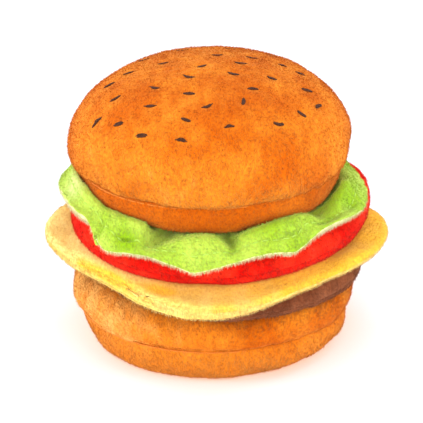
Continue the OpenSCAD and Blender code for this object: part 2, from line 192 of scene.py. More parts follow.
def drawn_inward(points: np.ndarray, profile: np.ndarray, noise: np.ndarray, start: float,
                 end: float) -> np.ndarray:
    """Points of a turned profile drawn in by a noise that grows from one radius to another.

    Args:
        points: Grid that the profile makes.
        profile: Its points [r, z].
        noise: Change of the radius, in millimetres.
        start: Radius up to which nothing moves.
        end: Radius from which the whole noise is added.

    Returns:
        The grid.
    """
    r = profile[:, :1]
    inward = noise * smooth(start, end, r)
    drawn = points.copy()
    drawn[..., :2] *= 1 + (inward / np.maximum(r, 1.0))[..., None]
    return drawn


def round_table(rows: Table, angle: np.ndarray, blur_degrees: float) -> np.ndarray:
    """Values of a table [degrees, value] at angles, blurred round the circle.

    The value is linear between two rows, and is then the mean under a bell of the width
    blur: v(a) = sum of w(a - b) v(b), w a normal curve.

    Args:
        rows: The table.
        angle: Angles to read it at.
        blur_degrees: Width of the bell.

    Returns:
        One value for each angle.
    """
    degrees = np.array([row[0] for row in rows], float)
    values = np.array([row[1] for row in rows], float)
    fine = np.arange(720) * 0.5
    level = np.interp(fine, degrees, values, period=360.0)
    gap = (fine + 180.0) % 360.0 - 180.0
    bell = np.exp(-0.5 * (gap / blur_degrees) ** 2)
    blurred = np.real(np.fft.ifft(np.fft.fft(level) * np.fft.fft(bell / bell.sum())))
    return np.interp(np.degrees(angle) % 360.0, fine, blurred, period=360.0)


class Lattice:
    """Smooth noise in space, in -1..1, from seeded values at the corners of a lattice.

    n(p) = sum over the corners c of the cell round p / size of value(c) times the product
    over x, y and z of w(1 - |p / size - c|), where w(t) = t * t * (3 - 2 t).
    """

    def __init__(self, size: float | Vector3, seed: int) -> None:
        """Draws the values.

        Args:
            size: Side of a cell, in millimetres, or its three sides.
            seed: Seed of the values.
        """
        self.size = np.broadcast_to(np.array(size, float), (3,))
        self.values = np.random.default_rng(seed).uniform(-1.0, 1.0, (32, 32, 32))

    def __call__(self, points: np.ndarray) -> np.ndarray:
        """Noise at points, an array whose last axis is x, y, z.

        Args:
            points: Points, with x, y and z on the last axis.

        Returns:
            One value for each point.
        """
        p = points / self.size + 16.37
        low = np.floor(p).astype(int)
        t = p - low
        w = t * t * (3 - 2 * t)
        total = np.zeros(points.shape[:-1])
        for corner in range(8):
            pick = np.array([corner & 1, corner >> 1 & 1, corner >> 2 & 1])
            weight = np.prod(np.where(pick == 1, w, 1 - w), axis=-1)
            i = (low + pick) % 32
            total += weight * self.values[i[..., 0], i[..., 1], i[..., 2]]
        return total


def puckers(angle: np.ndarray, seed: int, waves: tuple[int, int] = (24, 52)) -> np.ndarray:
    """Gathers along a seam, about -1..1: a sum of seven cosines of whole wave numbers,
    times a slower one that leaves some stretches smooth.

    Args:
        angle: Angles along the seam.
        seed: Seed of the cosines.
        waves: Range of their wave numbers.

    Returns:
        Heights of the gathers.
    """
    rng = np.random.default_rng(seed)
    total = np.zeros_like(angle)
    for count in rng.integers(waves[0], waves[1], 7):
        total += rng.uniform(0.4, 1.0) * np.cos(count * angle + rng.uniform(0, 6.28))
    calm = 0.55 + 0.45 * np.cos(rng.integers(3, 6) * angle + rng.uniform(0, 6.28))
    return total * calm / 2.4


# ---- meshes


def new_object(name: str, data: bpy.types.ID) -> bpy.types.Object:
    """Object at the origin with a mesh, a lamp or a camera, linked to the scene."""
    piece = bpy.data.objects.new(name, data)
    bpy.context.scene.collection.objects.link(piece)
    return piece


def mesh_of(name: str, points: np.ndarray, quads: np.ndarray,
            triangles: np.ndarray) -> bpy.types.Object:
    """Object made of quads and triangles, shaded smooth.

    Args:
        name: Name of the piece.
        points: Corners, in millimetres.
        quads: Indices of the quads, one row each.
        triangles: Indices of the triangles, one row each.

    Returns:
        The piece.
    """
    used, inverse = np.unique(np.concatenate([quads.ravel(), triangles.ravel()]),
                              return_inverse=True)
    loops = inverse.astype(np.int32)
    sizes = np.concatenate([np.full(len(quads), 4), np.full(len(triangles), 3)])
    starts = np.concatenate([[0], np.cumsum(sizes)[:-1]])
    mesh = bpy.data.meshes.new(name)
    mesh.vertices.add(len(used))
    mesh.vertices.foreach_set("co", (points[used] * MM).astype(np.float32).ravel())
    mesh.loops.add(len(loops))
    mesh.loops.foreach_set("vertex_index", loops)
    mesh.polygons.add(len(sizes))
    mesh.polygons.foreach_set("loop_start", starts.astype(np.int32))
    mesh.polygons.foreach_set("use_smooth", np.full(len(sizes), True))
    mesh.update(calc_edges=True)
    return new_object(name, mesh)


def grid_faces(index: np.ndarray, wraps_rows: bool) -> tuple[np.ndarray, np.ndarray]:
    """Faces of a grid whose columns close on themselves.

    Args:
        index: Vertex of each row and column. A row at a pole repeats one vertex.
        wraps_rows: Whether the last row joins the first.

    Returns:
        Quads and triangles, as rows of vertex indices.
    """
    if wraps_rows:
        index = np.concatenate([index, index[:1]])
    here, over = index[:-1], index[1:]
    right, skew = np.roll(here, -1, 1), np.roll(over, -1, 1)
    quads = np.stack([here, over, skew, right], -1).reshape(-1, 4)
    low_pole = quads[:, 0] == quads[:, 3]
    high_pole = quads[:, 1] == quads[:, 2]
    triangles = np.concatenate([quads[low_pole][:, [0, 1, 2]], quads[high_pole][:, [0, 1, 3]]])
    return quads[~(low_pole | high_pole)], triangles


def grid_mesh(name: str, points: np.ndarray, indices: Iterable[np.ndarray],
              wraps_rows: bool) -> bpy.types.Object:
    """Object made of grids whose columns close on themselves.

    Args:
        name: Name of the piece.
        points: Corners of every grid, in millimetres.
        indices: For each grid, the vertex of each row and column.
        wraps_rows: Whether the last row of a grid joins its first.

    Returns:
        The piece.
    """
    faces = [grid_faces(index, wraps_rows) for index in indices]
    quads, triangles = (np.concatenate(kind) for kind in zip(*faces))
    return mesh_of(name, points.reshape(-1, 3), quads, triangles)


@dataclass
class Cover:
    """Outer surface of one piece of pile fabric on a pad.

    Attributes:
        points: Grid [rows, columns, 3] in millimetres, rows leading away from the middle.
        side: Which way it faces where it lies level.
        exposed: Share, 0..1, to which each point is free of its neighbours and shows.
        has_pole: Whether the first row is a single point.
    """

    points: np.ndarray
    side: Side
    exposed: np.ndarray
    has_pole: bool = False

    def normals(self) -> np.ndarray:
        """Outward unit normals: side times the cross of the steps along rows and columns."""
        along = np.gradient(self.points, axis=0)
        across = np.roll(self.points, -1, 1) - np.roll(self.points, 1, 1)
        normal = self.side.value * np.cross(along, across)
        if self.has_pole:
            normal[0] = normal[1].mean(0)
        return unit(normal)

    def raised(self, height: np.ndarray | float) -> "Cover":
        """The cover moved out along its normals: p + height n, height masked by exposed."""
        lift = np.broadcast_to(height, self.exposed.shape) * self.exposed
        moved = self.points + self.normals() * lift[..., None]
        return Cover(moved, self.side, self.exposed, self.has_pole)

    def to_seam(self) -> np.ndarray:
        """Distance of each row from the last one, in one column."""
        return (np.arange(self.points.shape[0])[::-1] * ROW_STEP)[:, None]

    def gathered(self, pucker: np.ndarray, reach: float, groove: Point,
                 inset: np.ndarray | float) -> "Cover":
        """The cover gathered along its seam and drawn into the seam's groove.

        It is raised by pucker exp(-d / reach) - depth exp(-(d / width)^2) - inset, where
        d is the distance to the seam.

        Args:
            pucker: Height of the gathers at the seam.
            reach: How far they run in.
            groove: Depth and width of the groove.
            inset: How far the whole cover is drawn in, for its pile and dimples.

        Returns:
            The cover.
        """
        d, (depth, width) = self.to_seam(), groove
        return self.raised(pucker * np.exp(-d / reach)
                           - depth * np.exp(-((d / width) ** 2)) - inset)

    def shell(self, name: str) -> bpy.types.Object:
        """Closed piece between the cover and the same grid moved inward.

        Args:
            name: Name of the piece.

        Returns:
            The piece, its faces outward.
        """
        inner = self.points - self.normals() * CLOTH_THICKNESS
        grid = np.concatenate([self.points, inner[::-1]])
        index = numbered(grid)
        if self.has_pole:
            index[0] = index[0, 0]
            index[-1] = index[-1, 0]
            grid[0], grid[-1] = grid[0].mean(0), grid[-1].mean(0)
        if self.side is Side.BOTTOM:
            index = index[:, ::-1]
        return grid_mesh(name, grid, [index], wraps_rows=not self.has_pole)


def turned_cover(profile: np.ndarray, side: Side, bare: Point,
                 has_pole: bool = False) -> Cover:
    """Cover made of a turned profile.

    Args:
        profile: Its points [r, z], leading away from the middle.
        side: Which way it faces.
        bare: Radii between which it comes free of its neighbours.
        has_pole: Whether it starts on the axis.

    Returns:
        The cover.
    """
    rows = spread_evenly(profile, ROW_STEP)
    points = revolved(rows)
    exposed = np.broadcast_to(smooth(*bare, rows[:, :1]), points.shape[:2])
    return Cover(points, side, exposed, has_pole)


def solid_between(name: str, low: np.ndarray, top: np.ndarray) -> bpy.types.Object:
    """Closed ring-shaped piece between a lower and an upper grid, rows leading outward."""
    grid = np.concatenate([top, low[::-1]])
    return grid_mesh(name, grid, [numbered(grid)], wraps_rows=True)


def tube(name: str, path: np.ndarray, up: np.ndarray, radius: np.ndarray, sides: int,
         closed: bool) -> bpy.types.Object:
    """Tubes along paths, all in one piece.

    A point is path + radius (cos b * out + sin b * up), where out is square to the path
    and to up, and b goes round the tube.

    Args:
        name: Name of the piece.
        path: Points [tubes, steps, 3].
        up: Directions [tubes, steps, 3] away from the cloth.
        radius: Radii [tubes, steps]. An open tube ends where it is zero.
        sides: Number of faces round a tube.
        closed: Whether each path closes on itself.

    Returns:
        The piece.
    """
    if closed:
        along = np.roll(path, -1, 1) - np.roll(path, 1, 1)
    else:
        along = np.gradient(path, axis=1)
    along = unit(along)
    out = unit(np.cross(along, up))
    top = unit(np.cross(out, along))
    b = np.arange(sides) * 2 * math.pi / sides
    ring = (np.cos(b)[None, None, :, None] * out[:, :, None]
            + np.sin(b)[None, None, :, None] * top[:, :, None])
    grid = path[:, :, None] + radius[:, :, None, None] * ring
    tubes, steps = radius.shape
    index = np.arange(tubes * steps * sides).reshape(tubes, steps, sides)
    if not closed:
        index[:, 0] = index[:, 0, :1]
        index[:, -1] = index[:, -1, :1]
    return grid_mesh(name, grid, index[:, :, ::-1], wraps_rows=closed)


# ---- shader graphs


def linear(colour: Colour) -> tuple[float, float, float, float]:
    """Screen colour, 0..255 a channel, as linear light with an alpha of 1."""
    c = np.array(colour) / 255.0
    light = np.where(c <= 0.04045, c / 12.92, ((c + 0.055) / 1.055) ** 2.4)
    return (*[float(x) for x in light], 1.0)


def maths(operation: str, reflected: bool = False) -> Callable[["Wire", object], "Wire"]:
    """Operator of a wire that adds a Math node.

    Args:
        operation: The node's operation.
        reflected: Whether the wire is the second value.

    Returns:
        The method.
    """
    def method(wire: "Wire", other: "Wire | float") -> "Wire":
        """Math node on the wire and another value."""
        pair = (other, wire) if reflected else (wire, other)
        return wire.graph.node("ShaderNodeMath", {"operation": operation},
                               dict(enumerate(pair)))
    return method


class Wire:
    """Output socket of a shader node, on which arithmetic adds Math nodes."""

    def __init__(self, graph: "Graph", socket: bpy.types.NodeSocket) -> None:
        """Keeps the graph that the socket is in."""
        self.graph, self.socket = graph, socket

    __add__, __radd__ = maths("ADD"), maths("ADD", True)
    __sub__, __rsub__ = maths("SUBTRACT"), maths("SUBTRACT", True)
    __mul__, __rmul__ = maths("MULTIPLY"), maths("MULTIPLY", True)

    def between(self, low: float, high: float) -> "Wire":
        """Smooth step from 0 at low to 1 at high."""
        return self.graph.node("ShaderNodeMapRange", {"interpolation_type": "SMOOTHSTEP"},
                               {"Value": self, "From Min": low, "From Max": high})


class Graph:
    """Node tree of one material, or of the world."""

    def __init__(self, name: str, world: bpy.types.World | None = None) -> None:
        """Makes an empty tree.

        Args:
            name: Name of the material.
            world: World whose tree it is, where it isn't a material's.
        """
        self.owner = world or bpy.data.materials.new(name)
        self.owner.use_nodes = True
        self.tree = self.owner.node_tree
        self.tree.nodes.clear()
        self.last = "ShaderNodeOutputWorld" if world else "ShaderNodeOutputMaterial"

    def node(self, kind: str, settings: dict[str, object] | None = None,
             sockets: dict[str | int, object] | None = None,
             out: str | int = 0) -> Wire:
        """Adds a node.

        Args:
            kind: Its type.
            settings: Its properties, which are set first.
            sockets: Values or wires of its input sockets.
            out: Output socket to return.

        Returns:
            That output, as a wire.
        """
        made = self.tree.nodes.new(kind)
        for key, value in (settings or {}).items():
            setattr(made, key, value)
        for key, value in (sockets or {}).items():
            if isinstance(value, Wire):
                self.tree.links.new(value.socket, made.inputs[key])
            else:
                made.inputs[key].default_value = value
        return Wire(self, made.outputs[out])

    def blend(self, first: Wire | Colour, second: Wire | Colour, share: Wire | float,
              kind: str = "MIX") -> Wire:
        """Colour between two colours: first at a share of 0, second at 1.

        Args:
            first: Its first colour.
            second: Its second colour.
            share: Share of the second.
            kind: Way of blending.

        Returns:
            The colour.
        """
        first, second = (linear(one) if isinstance(one, tuple) else one
                         for one in (first, second))
        return self.node("ShaderNodeMix", {"data_type": "RGBA", "blend_type": kind},
                         {0: share, 6: first, 7: second}, out=2)

    def tinted(self, first: Wire | Colour, second: Wire | Colour,
               share: Wire | float) -> Wire:
        """First colour multiplied by the second, to a share."""
        return self.blend(first, second, share, "MULTIPLY")

    def place(self, stretch: Vector3 = (1.0, 1.0, 1.0)) -> Wire:
        """Object coordinates, in metres, times a stretch."""
        where = self.node("ShaderNodeTexCoord", out="Object")
        return self.node("ShaderNodeMapping", None, {"Vector": where, "Scale": stretch})

    def noise(self, where: Wire, scale: float, detail: float = 2.0,
              roughness: float = 0.5) -> Wire:
        """Noise, 0..1, of a scale in cells per metre."""
        return self.node("ShaderNodeTexNoise", None,
                         {"Vector": where, "Scale": scale, "Detail": detail,
                          "Roughness": roughness})

    def value(self, name: str) -> Wire:
        """A piece's own attribute."""
        return self.node("ShaderNodeAttribute", {"attribute_name": name}, out="Fac")

    def bump(self, height: Wire, distance: float, strength: float = 1.0) -> Wire:
        """Normal bent by a height, for a relief of a distance in millimetres."""
        return self.node("ShaderNodeBump", None,
                         {"Height": height, "Distance": distance * MM, "Strength": strength})

    def surface(self, constants: dict[str, object],
                wires: dict[str, Wire]) -> bpy.types.Material:
        """Ends the graph in a Principled surface, from its constants and its links."""
        return self.end(self.node("ShaderNodeBsdfPrincipled", None, {**constants, **wires}))

    def end(self, shader: Wire) -> bpy.types.Material | bpy.types.World:
        """Ends the graph in its output and returns its owner."""
        output = self.tree.nodes.new(self.last)
        self.tree.links.new(shader.socket, output.inputs["Surface"])
        return self.owner


# ---- finishes


@dataclass(frozen=True)
class Velour:
    """Short pile fabric: the knitted ground and the strands that stand on it.

    The strands lean one way, so the cloth is deep where they point at the eye and bright
    where they lie along the light. The attribute "nap" says which, 0 deep to 1 bright and
    2 palest.

    Attributes:
        name: Name of the fabric.
        slot: Material slot of the record that it belongs to.
        deep: Screen colour of the cloth brushed up.
        bright: Screen colour of the cloth brushed flat.
        tip: Screen colour of the ends of the strands.
        sheen: Weight of the soft shine at grazing angles.
        mottle: How much the fine mottle changes the nap.
        shade: Screen colour that white turns to on the darkest strands.
    """

    name: str
    slot: str
    deep: Colour
    bright: Colour
    tip: Colour
    sheen: float = 0.5
    mottle: float = 0.5
    shade: Colour = (214, 190, 172)

    def _base(self, graph: Graph, nap: Wire) -> Wire:
        """Colour of the cloth, from deep to bright by the nap and a fine mottle.

        Past a nap of 1 it turns to the colour of the tips.

        Args:
            graph: The material's graph.
            nap: The attribute "nap".

        Returns:
            The colour.
        """
        mottle = graph.noise(graph.place(), 420.0, 3.0, 0.6)
        share = nap + self.mottle * (mottle - 0.5)
        cloth = graph.blend(self.deep, self.bright, share.between(0.0, 1.0))
        return graph.blend(cloth, self.tip, share.between(0.9, 2.0))

    def ground(self) -> bpy.types.Material:
        """Material of the cover under its strands."""
        graph = Graph(f"{self.name}_ground")
        colour = self._base(graph, graph.value("nap"))
        streak = graph.noise(graph.place((1.0, 0.45, 0.45)), 1500.0, 3.0, 0.7)
        soft = graph.noise(graph.place(), 260.0, 2.0, 0.5)
        dark = graph.tinted(colour, (236, 220, 208), streak.between(0.62, 0.3))
        height = streak + 0.8 * soft
        return graph.surface(self._shine(0.92, 0.45),
                             {"Base Color": dark, "Normal": graph.bump(height, 0.5, 0.8)})

    def strands(self) -> bpy.types.Material:
        """Material of the pile: darker at its roots, and each strand its own tone."""
        graph = Graph(f"{self.name}_strands")
        colour = self._base(graph, graph.value("nap"))
        along, tone = graph.value("along"), graph.value("tone")
        # Painted shade: lighter towards the tips and darker towards the roots, where the
        # strands shade one another.
        tips = graph.blend(colour, self.tip, along * along * 0.35)
        roots = graph.tinted(tips, (240, 222, 210), (1.0 - along) * 0.4)
        toned = graph.tinted(roots, self.shade, tone)
        return graph.surface(self._shine(0.85, 0.5), {"Base Color": toned})

    def _shine(self, roughness: float, sheen_roughness: float) -> dict[str, object]:
        """Constants of the fabric's surface."""
        return {"Roughness": roughness, "Specular IOR Level": 0.1,
                "Sheen Weight": self.sheen, "Sheen Roughness": sheen_roughness,
                "Sheen Tint": linear(self.tip)}


@dataclass(frozen=True)
class Thread:
    """Twisted sewing thread."""

    name: str
    colour: Colour
    dark: Colour
    twists: float = 900.0

    def material(self) -> bpy.types.Material:
        """Thread whose plies wind round each other, darker along the grooves of the twist and
        in a fine fibre noise.
        """
        graph = Graph(self.name)
        wave = graph.node("ShaderNodeTexWave", {"bands_direction": "DIAGONAL"},
                          {"Vector": graph.place(), "Scale": self.twists, "Distortion": 1.5,
                           "Detail": 1.0}, out="Fac")
        fibre = graph.noise(graph.place(), 2600.0, 2.0, 0.6)
        colour = graph.blend(self.dark, self.colour,
                             (0.65 * wave + 0.5 * fibre).between(0.1, 0.95))
        return graph.surface(
            {"Roughness": 0.8, "Specular IOR Level": 0.15, "Sheen Weight": 0.1},
            {"Base Color": colour, "Normal": graph.bump(wave + 0.4 * fibre, 0.12)})


@dataclass(frozen=True)
class Fibre:
    """Loose polyester filling."""

    name: str = "polyester_fibre"

    def material(self) -> bpy.types.Material:
        """White fibre with crossing wisps and shaded hollows."""
        graph = Graph(self.name)
        wisp = graph.noise(graph.place((1.0, 0.3, 1.0)), 420.0, 4.0, 0.7)
        cross = graph.noise(graph.place((0.3, 1.0, 0.6)), 380.0, 4.0, 0.7)
        height = wisp + cross
        colour = graph.blend((222, 221, 216), (250, 250, 248),
                             (0.5 * height).between(0.3, 0.6))
        return graph.surface(
            {"Roughness": 0.9, "Specular IOR Level": 0.15, "Sheen Weight": 0.4},
            {"Base Color": colour, "Normal": graph.bump(height, 1.2)})


@dataclass(frozen=True)
class Plastic:
    """Moulded plastic of the squeaker, with faint flow marks."""

    name: str
    colour: Colour
    dull: Colour
    roughness: float

    def material(self) -> bpy.types.Material:
        """Plastic with cloudy colour, fine mould texture and uneven gloss."""
        graph = Graph(self.name)
        cloud = graph.noise(graph.place((1.0, 1.0, 0.4)), 120.0, 3.0, 0.5)
        grain = graph.noise(graph.place(), 3000.0, 2.0, 0.5)
        colour = graph.blend(self.dull, self.colour, cloud.between(0.3, 0.65))
        return graph.surface(
            {"Specular IOR Level": 0.45},
            {"Base Color": colour, "Roughness": self.roughness + 0.2 * (cloud - 0.5),
             "Normal": graph.bump(grain + 0.6 * cloud, 0.05)})


Finish = Thread | Fibre | Plastic

CRUST = Velour("crust_velour", "crust_velour", (208, 98, 0), (234, 138, 32), (250, 188, 104),
               mottle=0.35, shade=(226, 206, 188))
PATTY_CLOTH = Velour("patty_velour", "patty_velour", (106, 54, 31), (156, 94, 62),
                     (196, 138, 104), mottle=0.7)
CHEESE_CLOTH = Velour("cheese_velour", "cheese_velour", (253, 204, 56), (254, 226, 132),
                      (255, 237, 178), mottle=0.35, shade=(226, 206, 186))
TOMATO_CLOTH = Velour("tomato_velour", "tomato_velour", (224, 14, 2), (252, 50, 24),
                      (255, 116, 96), 0.12, mottle=0.8, shade=(200, 160, 150))
LEAF_CLOTH = Velour("leaf_velour", "leaf_velour", (150, 196, 10), (194, 228, 88),
                    (234, 252, 172), mottle=0.15, shade=(226, 214, 198))
# Lower leaf ply: partly its own paler cream, partly painted light that keeps it pale where it
# hangs in shade.
LEAF_RIM = Velour("leaf_rim_velour", "leaf_velour", (226, 240, 150), (246, 248, 192),
                  (255, 250, 222), mottle=0.3, shade=(236, 224, 206))
CRUST_THREAD = Thread("sewing_thread", (236, 140, 44), (206, 104, 22))
LEAF_THREAD = Thread("leaf_thread", (196, 230, 104), (168, 210, 66))
SEED_THREAD = Thread("seed_thread", (96, 50, 24), (48, 20, 8), 1400.0)
TIE_THREAD = Thread("waxed_tie", (206, 148, 84), (150, 96, 44), 500.0)
FIBRE = Fibre()
VINYL = Plastic("bladder_vinyl", (238, 236, 228), (214, 212, 200), 0.35)
REED = Plastic("reed_plastic", (246, 244, 238), (226, 222, 210), 0.28)


# ---- pile

ROOT_DEPTH = 0.16  # of a strand in the cloth
LOWEST_TIP = 0.05  # height that no strand goes below
MAP_MARGIN = 0.01  # of the map, left bare
MAP_STRAND = 0.0016  # size of a strand's place on the map


@dataclass(frozen=True)
class Nap:
    """How the strands of one cover lie.

    Attributes:
        towards: Direction that the cloth is brushed in, before it follows the surface.
        bias: Part of "nap" that the whole cover has, 0 deep to 1 bright.
        painted_light_slope: Change of "nap" for a millimetre along x, y and z, from the toy's
            middle; painted light that lightens the side the lamps favour.
        swing: How much of "nap" changes from patch to patch.
        marks: Places of painted light and shade, some also patches of nap: middle, radius and
            change of "nap" in the middle.
        patch: Size of a patch, in millimetres.
        length: Length of a strand.
        width: Width of a strand at its root.
        per_mm2: Strands on a square millimetre.
        lean: Angle of a strand from upright, in degrees.
        most: Greatest number of strands.
        seed: Seed of every random number.
    """

    towards: Vector3 = (0.15, -0.7, -0.7)
    bias: float = 0.6
    painted_light_slope: Vector3 = (0.0, 0.0, 0.0)
    swing: float = 0.5
    marks: Marks = ()
    patch: float = 17.0
    length: float = 1.6
    width: float = 0.34
    per_mm2: float = 2.6
    lean: float = 68.0
    most: int = 49000
    seed: int = 1

    def patches(self, points: np.ndarray) -> np.ndarray:
        """The attribute "nap" at points: bias + slope (p - middle) + swing (0.6 n1 +
        0.45 n2) + change exp(-(d / radius)^2) of each mark, n lattice noise.

        Args:
            points: Points in millimetres.

        Returns:
            One value for each point.
        """
        wide = Lattice(self.patch, self.seed)(points)
        streaky = Lattice((self.patch * 0.25, self.patch * 0.5, self.patch * 0.5),
                          self.seed + 1)(points)
        # Painted light and shade: the linear change and the marks lighten or darken the nap
        # where the lamps light the toy more or less.
        level = self.bias + (points - np.array([0.0, 0.0, 65.0])) @ np.array(self.painted_light_slope)
        for place, radius, change in self.marks:
            away = np.linalg.norm(points - np.array(place), axis=-1)
            level = level + change * np.exp(-((away / radius) ** 2))
        return np.clip(level + self.swing * (0.6 * wide + 0.45 * streaky), 0.0, 2.0)


def marks_along(line: tuple[Vector3, ...], radius: float, change: float) -> Marks:
    """Marks of a nap at four places on each stretch of a line."""
    places = [np.linspace(start, end, 4, endpoint=False)
              for start, end in zip(line[:-1], line[1:])]
    return tuple((tuple(place), radius, change) for place in np.concatenate(places))


def put_value(piece: bpy.types.Object, name: str, values: np.ndarray) -> None:
    """Stores one number per vertex as an attribute of a piece."""
    made = piece.data.attributes.new(name, "FLOAT", "POINT")
    made.data.foreach_set("value", values.astype(np.float32).ravel())


def nap_of(piece: bpy.types.Object, nap: Nap) -> None:
    """Stores the attribute "nap" on a cover's own vertices."""
    co = np.zeros(len(piece.data.vertices) * 3, np.float32)
    piece.data.vertices.foreach_get("co", co)
    put_value(piece, "nap", nap.patches(co.reshape(-1, 3) / MM))


def grow(name: str, cover: Cover, nap: Nap,
         keep: Callable[[np.ndarray], np.ndarray] | None = None) -> bpy.types.Object:
    """Strands that stand on a cover, each a closed sliver of four faces.

    A root is drawn in a cell of the grid in proportion to the cell's area. Its strand is a
    line from the root along n cos(lean) + t sin(lean), where n is the normal and t the
    brushed direction laid on the surface and turned a little by noise.

    Args:
        name: Name of the piece.
        cover: What they stand on.
        nap: How they lie.
        keep: Says, for roots, the share of strands to keep there.

    Returns:
        The piece, with its own map for baking.
    """
    rng = np.random.default_rng(nap.seed)
    p, n = cover.points, cover.normals()
    a, b = p[1:] - p[:-1], np.roll(p, -1, 1)[:-1] - p[:-1]
    area = np.linalg.norm(np.cross(a, b), axis=-1)
    area = area * (0.5 * (cover.exposed[1:] + cover.exposed[:-1])) ** 0.5
    count = min(nap.most, int(area.sum() * nap.per_mm2))
    steps = np.cumsum(area.ravel())
    cell = np.searchsorted(steps, rng.uniform(0, steps[-1], count))
    row, column = np.minimum(cell // area.shape[1], area.shape[0] - 1), cell % area.shape[1]
    s, t = rng.uniform(0, 1, (2, count, 1))
    root, normal = sampled(p, row, column, s, t), unit(sampled(n, row, column, s, t))
    if keep is not None:
        kept = rng.uniform(0, 1, count) < keep(root)
        root, normal, row, column = root[kept], normal[kept], row[kept], column[kept]
        s, t, count = s[kept], t[kept], int(kept.sum())
    brushed = np.broadcast_to(np.array(nap.towards, float), root.shape)
    brushed = unit(brushed - (brushed * normal).sum(1, keepdims=True) * normal
                   + 0.02 * rng.normal(size=root.shape))
    turn = 0.5 * Lattice(nap.patch * 0.8, nap.seed + 2)(root) + 0.22 * rng.normal(size=count)
    cross = np.cross(normal, brushed)
    brushed = brushed * np.cos(turn)[:, None] + cross * np.sin(turn)[:, None]
    lean = np.radians(nap.lean + 10 * Lattice(nap.patch * 0.5, nap.seed + 3)(root)
                      + 8 * rng.normal(size=count))[:, None]
    along = unit(normal * np.cos(lean) + brushed * np.sin(lean))
    wide = unit(np.cross(along, normal)) * (nap.width * rng.uniform(0.7, 1.2, (count, 1)) / 2)
    length = nap.length * rng.uniform(0.65, 1.15, (count, 1))
    sunk = root - normal * ROOT_DEPTH
    corners = np.stack([sunk + wide, sunk - wide, sunk - normal * ROOT_DEPTH,
                        root + along * length], 1)
    corners[..., 2] = np.maximum(corners[..., 2], LOWEST_TIP)
    faces = np.array([[0, 3, 1], [1, 3, 2], [2, 3, 0], [0, 1, 2]])
    index = (np.arange(count) * 4)[:, None, None] + faces[None]
    piece = mesh_of(name, corners.reshape(-1, 3), np.zeros((0, 4), int),
                    index.reshape(-1, 3))
    ones = np.ones((count, 4))
    put_value(piece, "nap", nap.patches(root)[:, None] * ones)
    clump = Lattice((1.3, 2.6, 2.6), nap.seed + 4)(root)
    tone = np.clip(rng.uniform(0, 0.7, count) + 0.15 + 0.5 * clump, 0.0, 1.0)
    put_value(piece, "tone", tone[:, None] * ones)
    put_value(piece, "along", ones * np.array([0.0, 0.0, 0.0, 1.0]))
    lay_map(piece, (row[:, None] + s) / (p.shape[0] - 1), (column[:, None] + t) / p.shape[1],
            faces)
    return piece


def lay_map(piece: bpy.types.Object, v: np.ndarray, u: np.ndarray, faces: np.ndarray) -> None:
    """Gives each strand its own small place on the piece's map, at the place of its root.

    Args:
        piece: The strands.
        v: Share of the way along the cover's rows, one per strand.
        u: Share of the way round, one per strand.
        faces: Corners of the faces of one strand.
    """
    tiny = MAP_STRAND * np.array([[-1.0, 0.0], [1.0, 0.0], [0.0, -1.0], [0.0, 2.0]])
    place = MAP_MARGIN + (1 - 2 * MAP_MARGIN) * np.concatenate([u, v], 1)
    corner = place[:, None, :] + tiny[None]
    uv = corner[:, faces.ravel(), :].reshape(-1, 2)
    layer = piece.data.uv_layers.new(name="OFBake")
    layer.data.foreach_set("uv", np.clip(uv, 0.0, 1.0).astype(np.float32).ravel())


# ---- what every pad shares


class Builder:
    """Dresses pieces and hands them to the frame."""

    def __init__(self) -> None:
        """Starts with no materials made."""
        self.made: dict[str, bpy.types.Material] = {}
        self.pieces: list[str] = []

    def dress(self, piece: bpy.types.Object, key: str,
              make: Callable[[], bpy.types.Material]) -> None:
        """Puts a finish on a piece, making it once.

        Args:
            piece: The piece.
            key: Name that the finish is kept by.
            make: Makes its material.
        """
        if key not in self.made:
            self.made[key] = make()
        piece.data.materials.clear()
        piece.data.materials.append(self.made[key])

    def settle(self, piece: bpy.types.Object, body: str, slot: str, *nodes: str) -> None:
        """Makes a piece ride on a body and hides the nodes that it stands for.

        Args:
            piece: The piece.
            body: Body that it rides on.
            slot: Its material slot; not used.
            nodes: Nodes that it stands for.
        """
        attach(piece, body)
        if nodes:
            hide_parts(*nodes)
        self.pieces.append(piece.name)
        log.info("%s: %d faces on %s", piece.name, len(piece.data.polygons), body)

    def add(self, piece: bpy.types.Object, finish: Finish, body: str, slot: str,
            *nodes: str) -> None:
        """Puts a finish on a piece and settles it."""
        self.dress(piece, finish.name, finish.material)
        self.settle(piece, body, slot, *nodes)

    def cloth(self, name: str, cover: Cover, nap: Nap, velour: Velour, body: str,
              node: str, fill: float,
              keep: Callable[[np.ndarray], np.ndarray] | None = None
              ) -> list[bpy.types.Object]:
        """Makes a cover and its pile.

        Args:
            name: Name of the cover.
            cover: Its outer surface.
            nap: How its pile lies.
            velour: Its fabric.
            body: Body that it rides on.
            node: Node that it stands for.
            fill: How tightly the pad is stuffed; not used.
            keep: Share of strands to keep at their roots.

        Returns:
            The cover and the pile.
        """
        shell = cover.shell(name)
        nap_of(shell, nap)
        self.dress(shell, f"{velour.name}_ground", velour.ground)
        self.settle(shell, body, velour.slot, node)
        pile = grow(f"{name}_pile", cover, nap, keep)
        self.dress(pile, f"{velour.name}_strands", velour.strands)
        self.settle(pile, body, velour.slot)
        return [shell, pile]

    def filling(self, piece: bpy.types.Object, body: str, node: str, fill: float) -> None:
        """Makes a piece the fibre filling of a pad."""
        self.add(piece, FIBRE, body, "polyester_fibre", node)

    def node(self, frame: dict, name: str, finish: Finish) -> None:
        """Puts a finish on a node that is shown as it is."""
        self.dress(frame["nodes"][name], finish.name, finish.material)
        log.info("%s: node with a finish", name)


@dataclass(frozen=True)
class Stack:
    """Levels at which the pads meet, the radius of the tie's eyelet, and the curve in which
    the top bun's underside turns up to its seam."""

    heel_top: float = 34.4
    patty: float = 34.8
    cheese: float = 47.2
    tomato: float = 51.8
    leaf: float = 65.0
    crown: float = 70.6
    eyelet: float = 1.5
    turn_from: float = 48.0
    turn_width: float = 10.1
    turn_height: float = 14.7
    turn_power: float = 2.5


STACK = Stack()
TILT = 0.02  # slope of the top bun along x


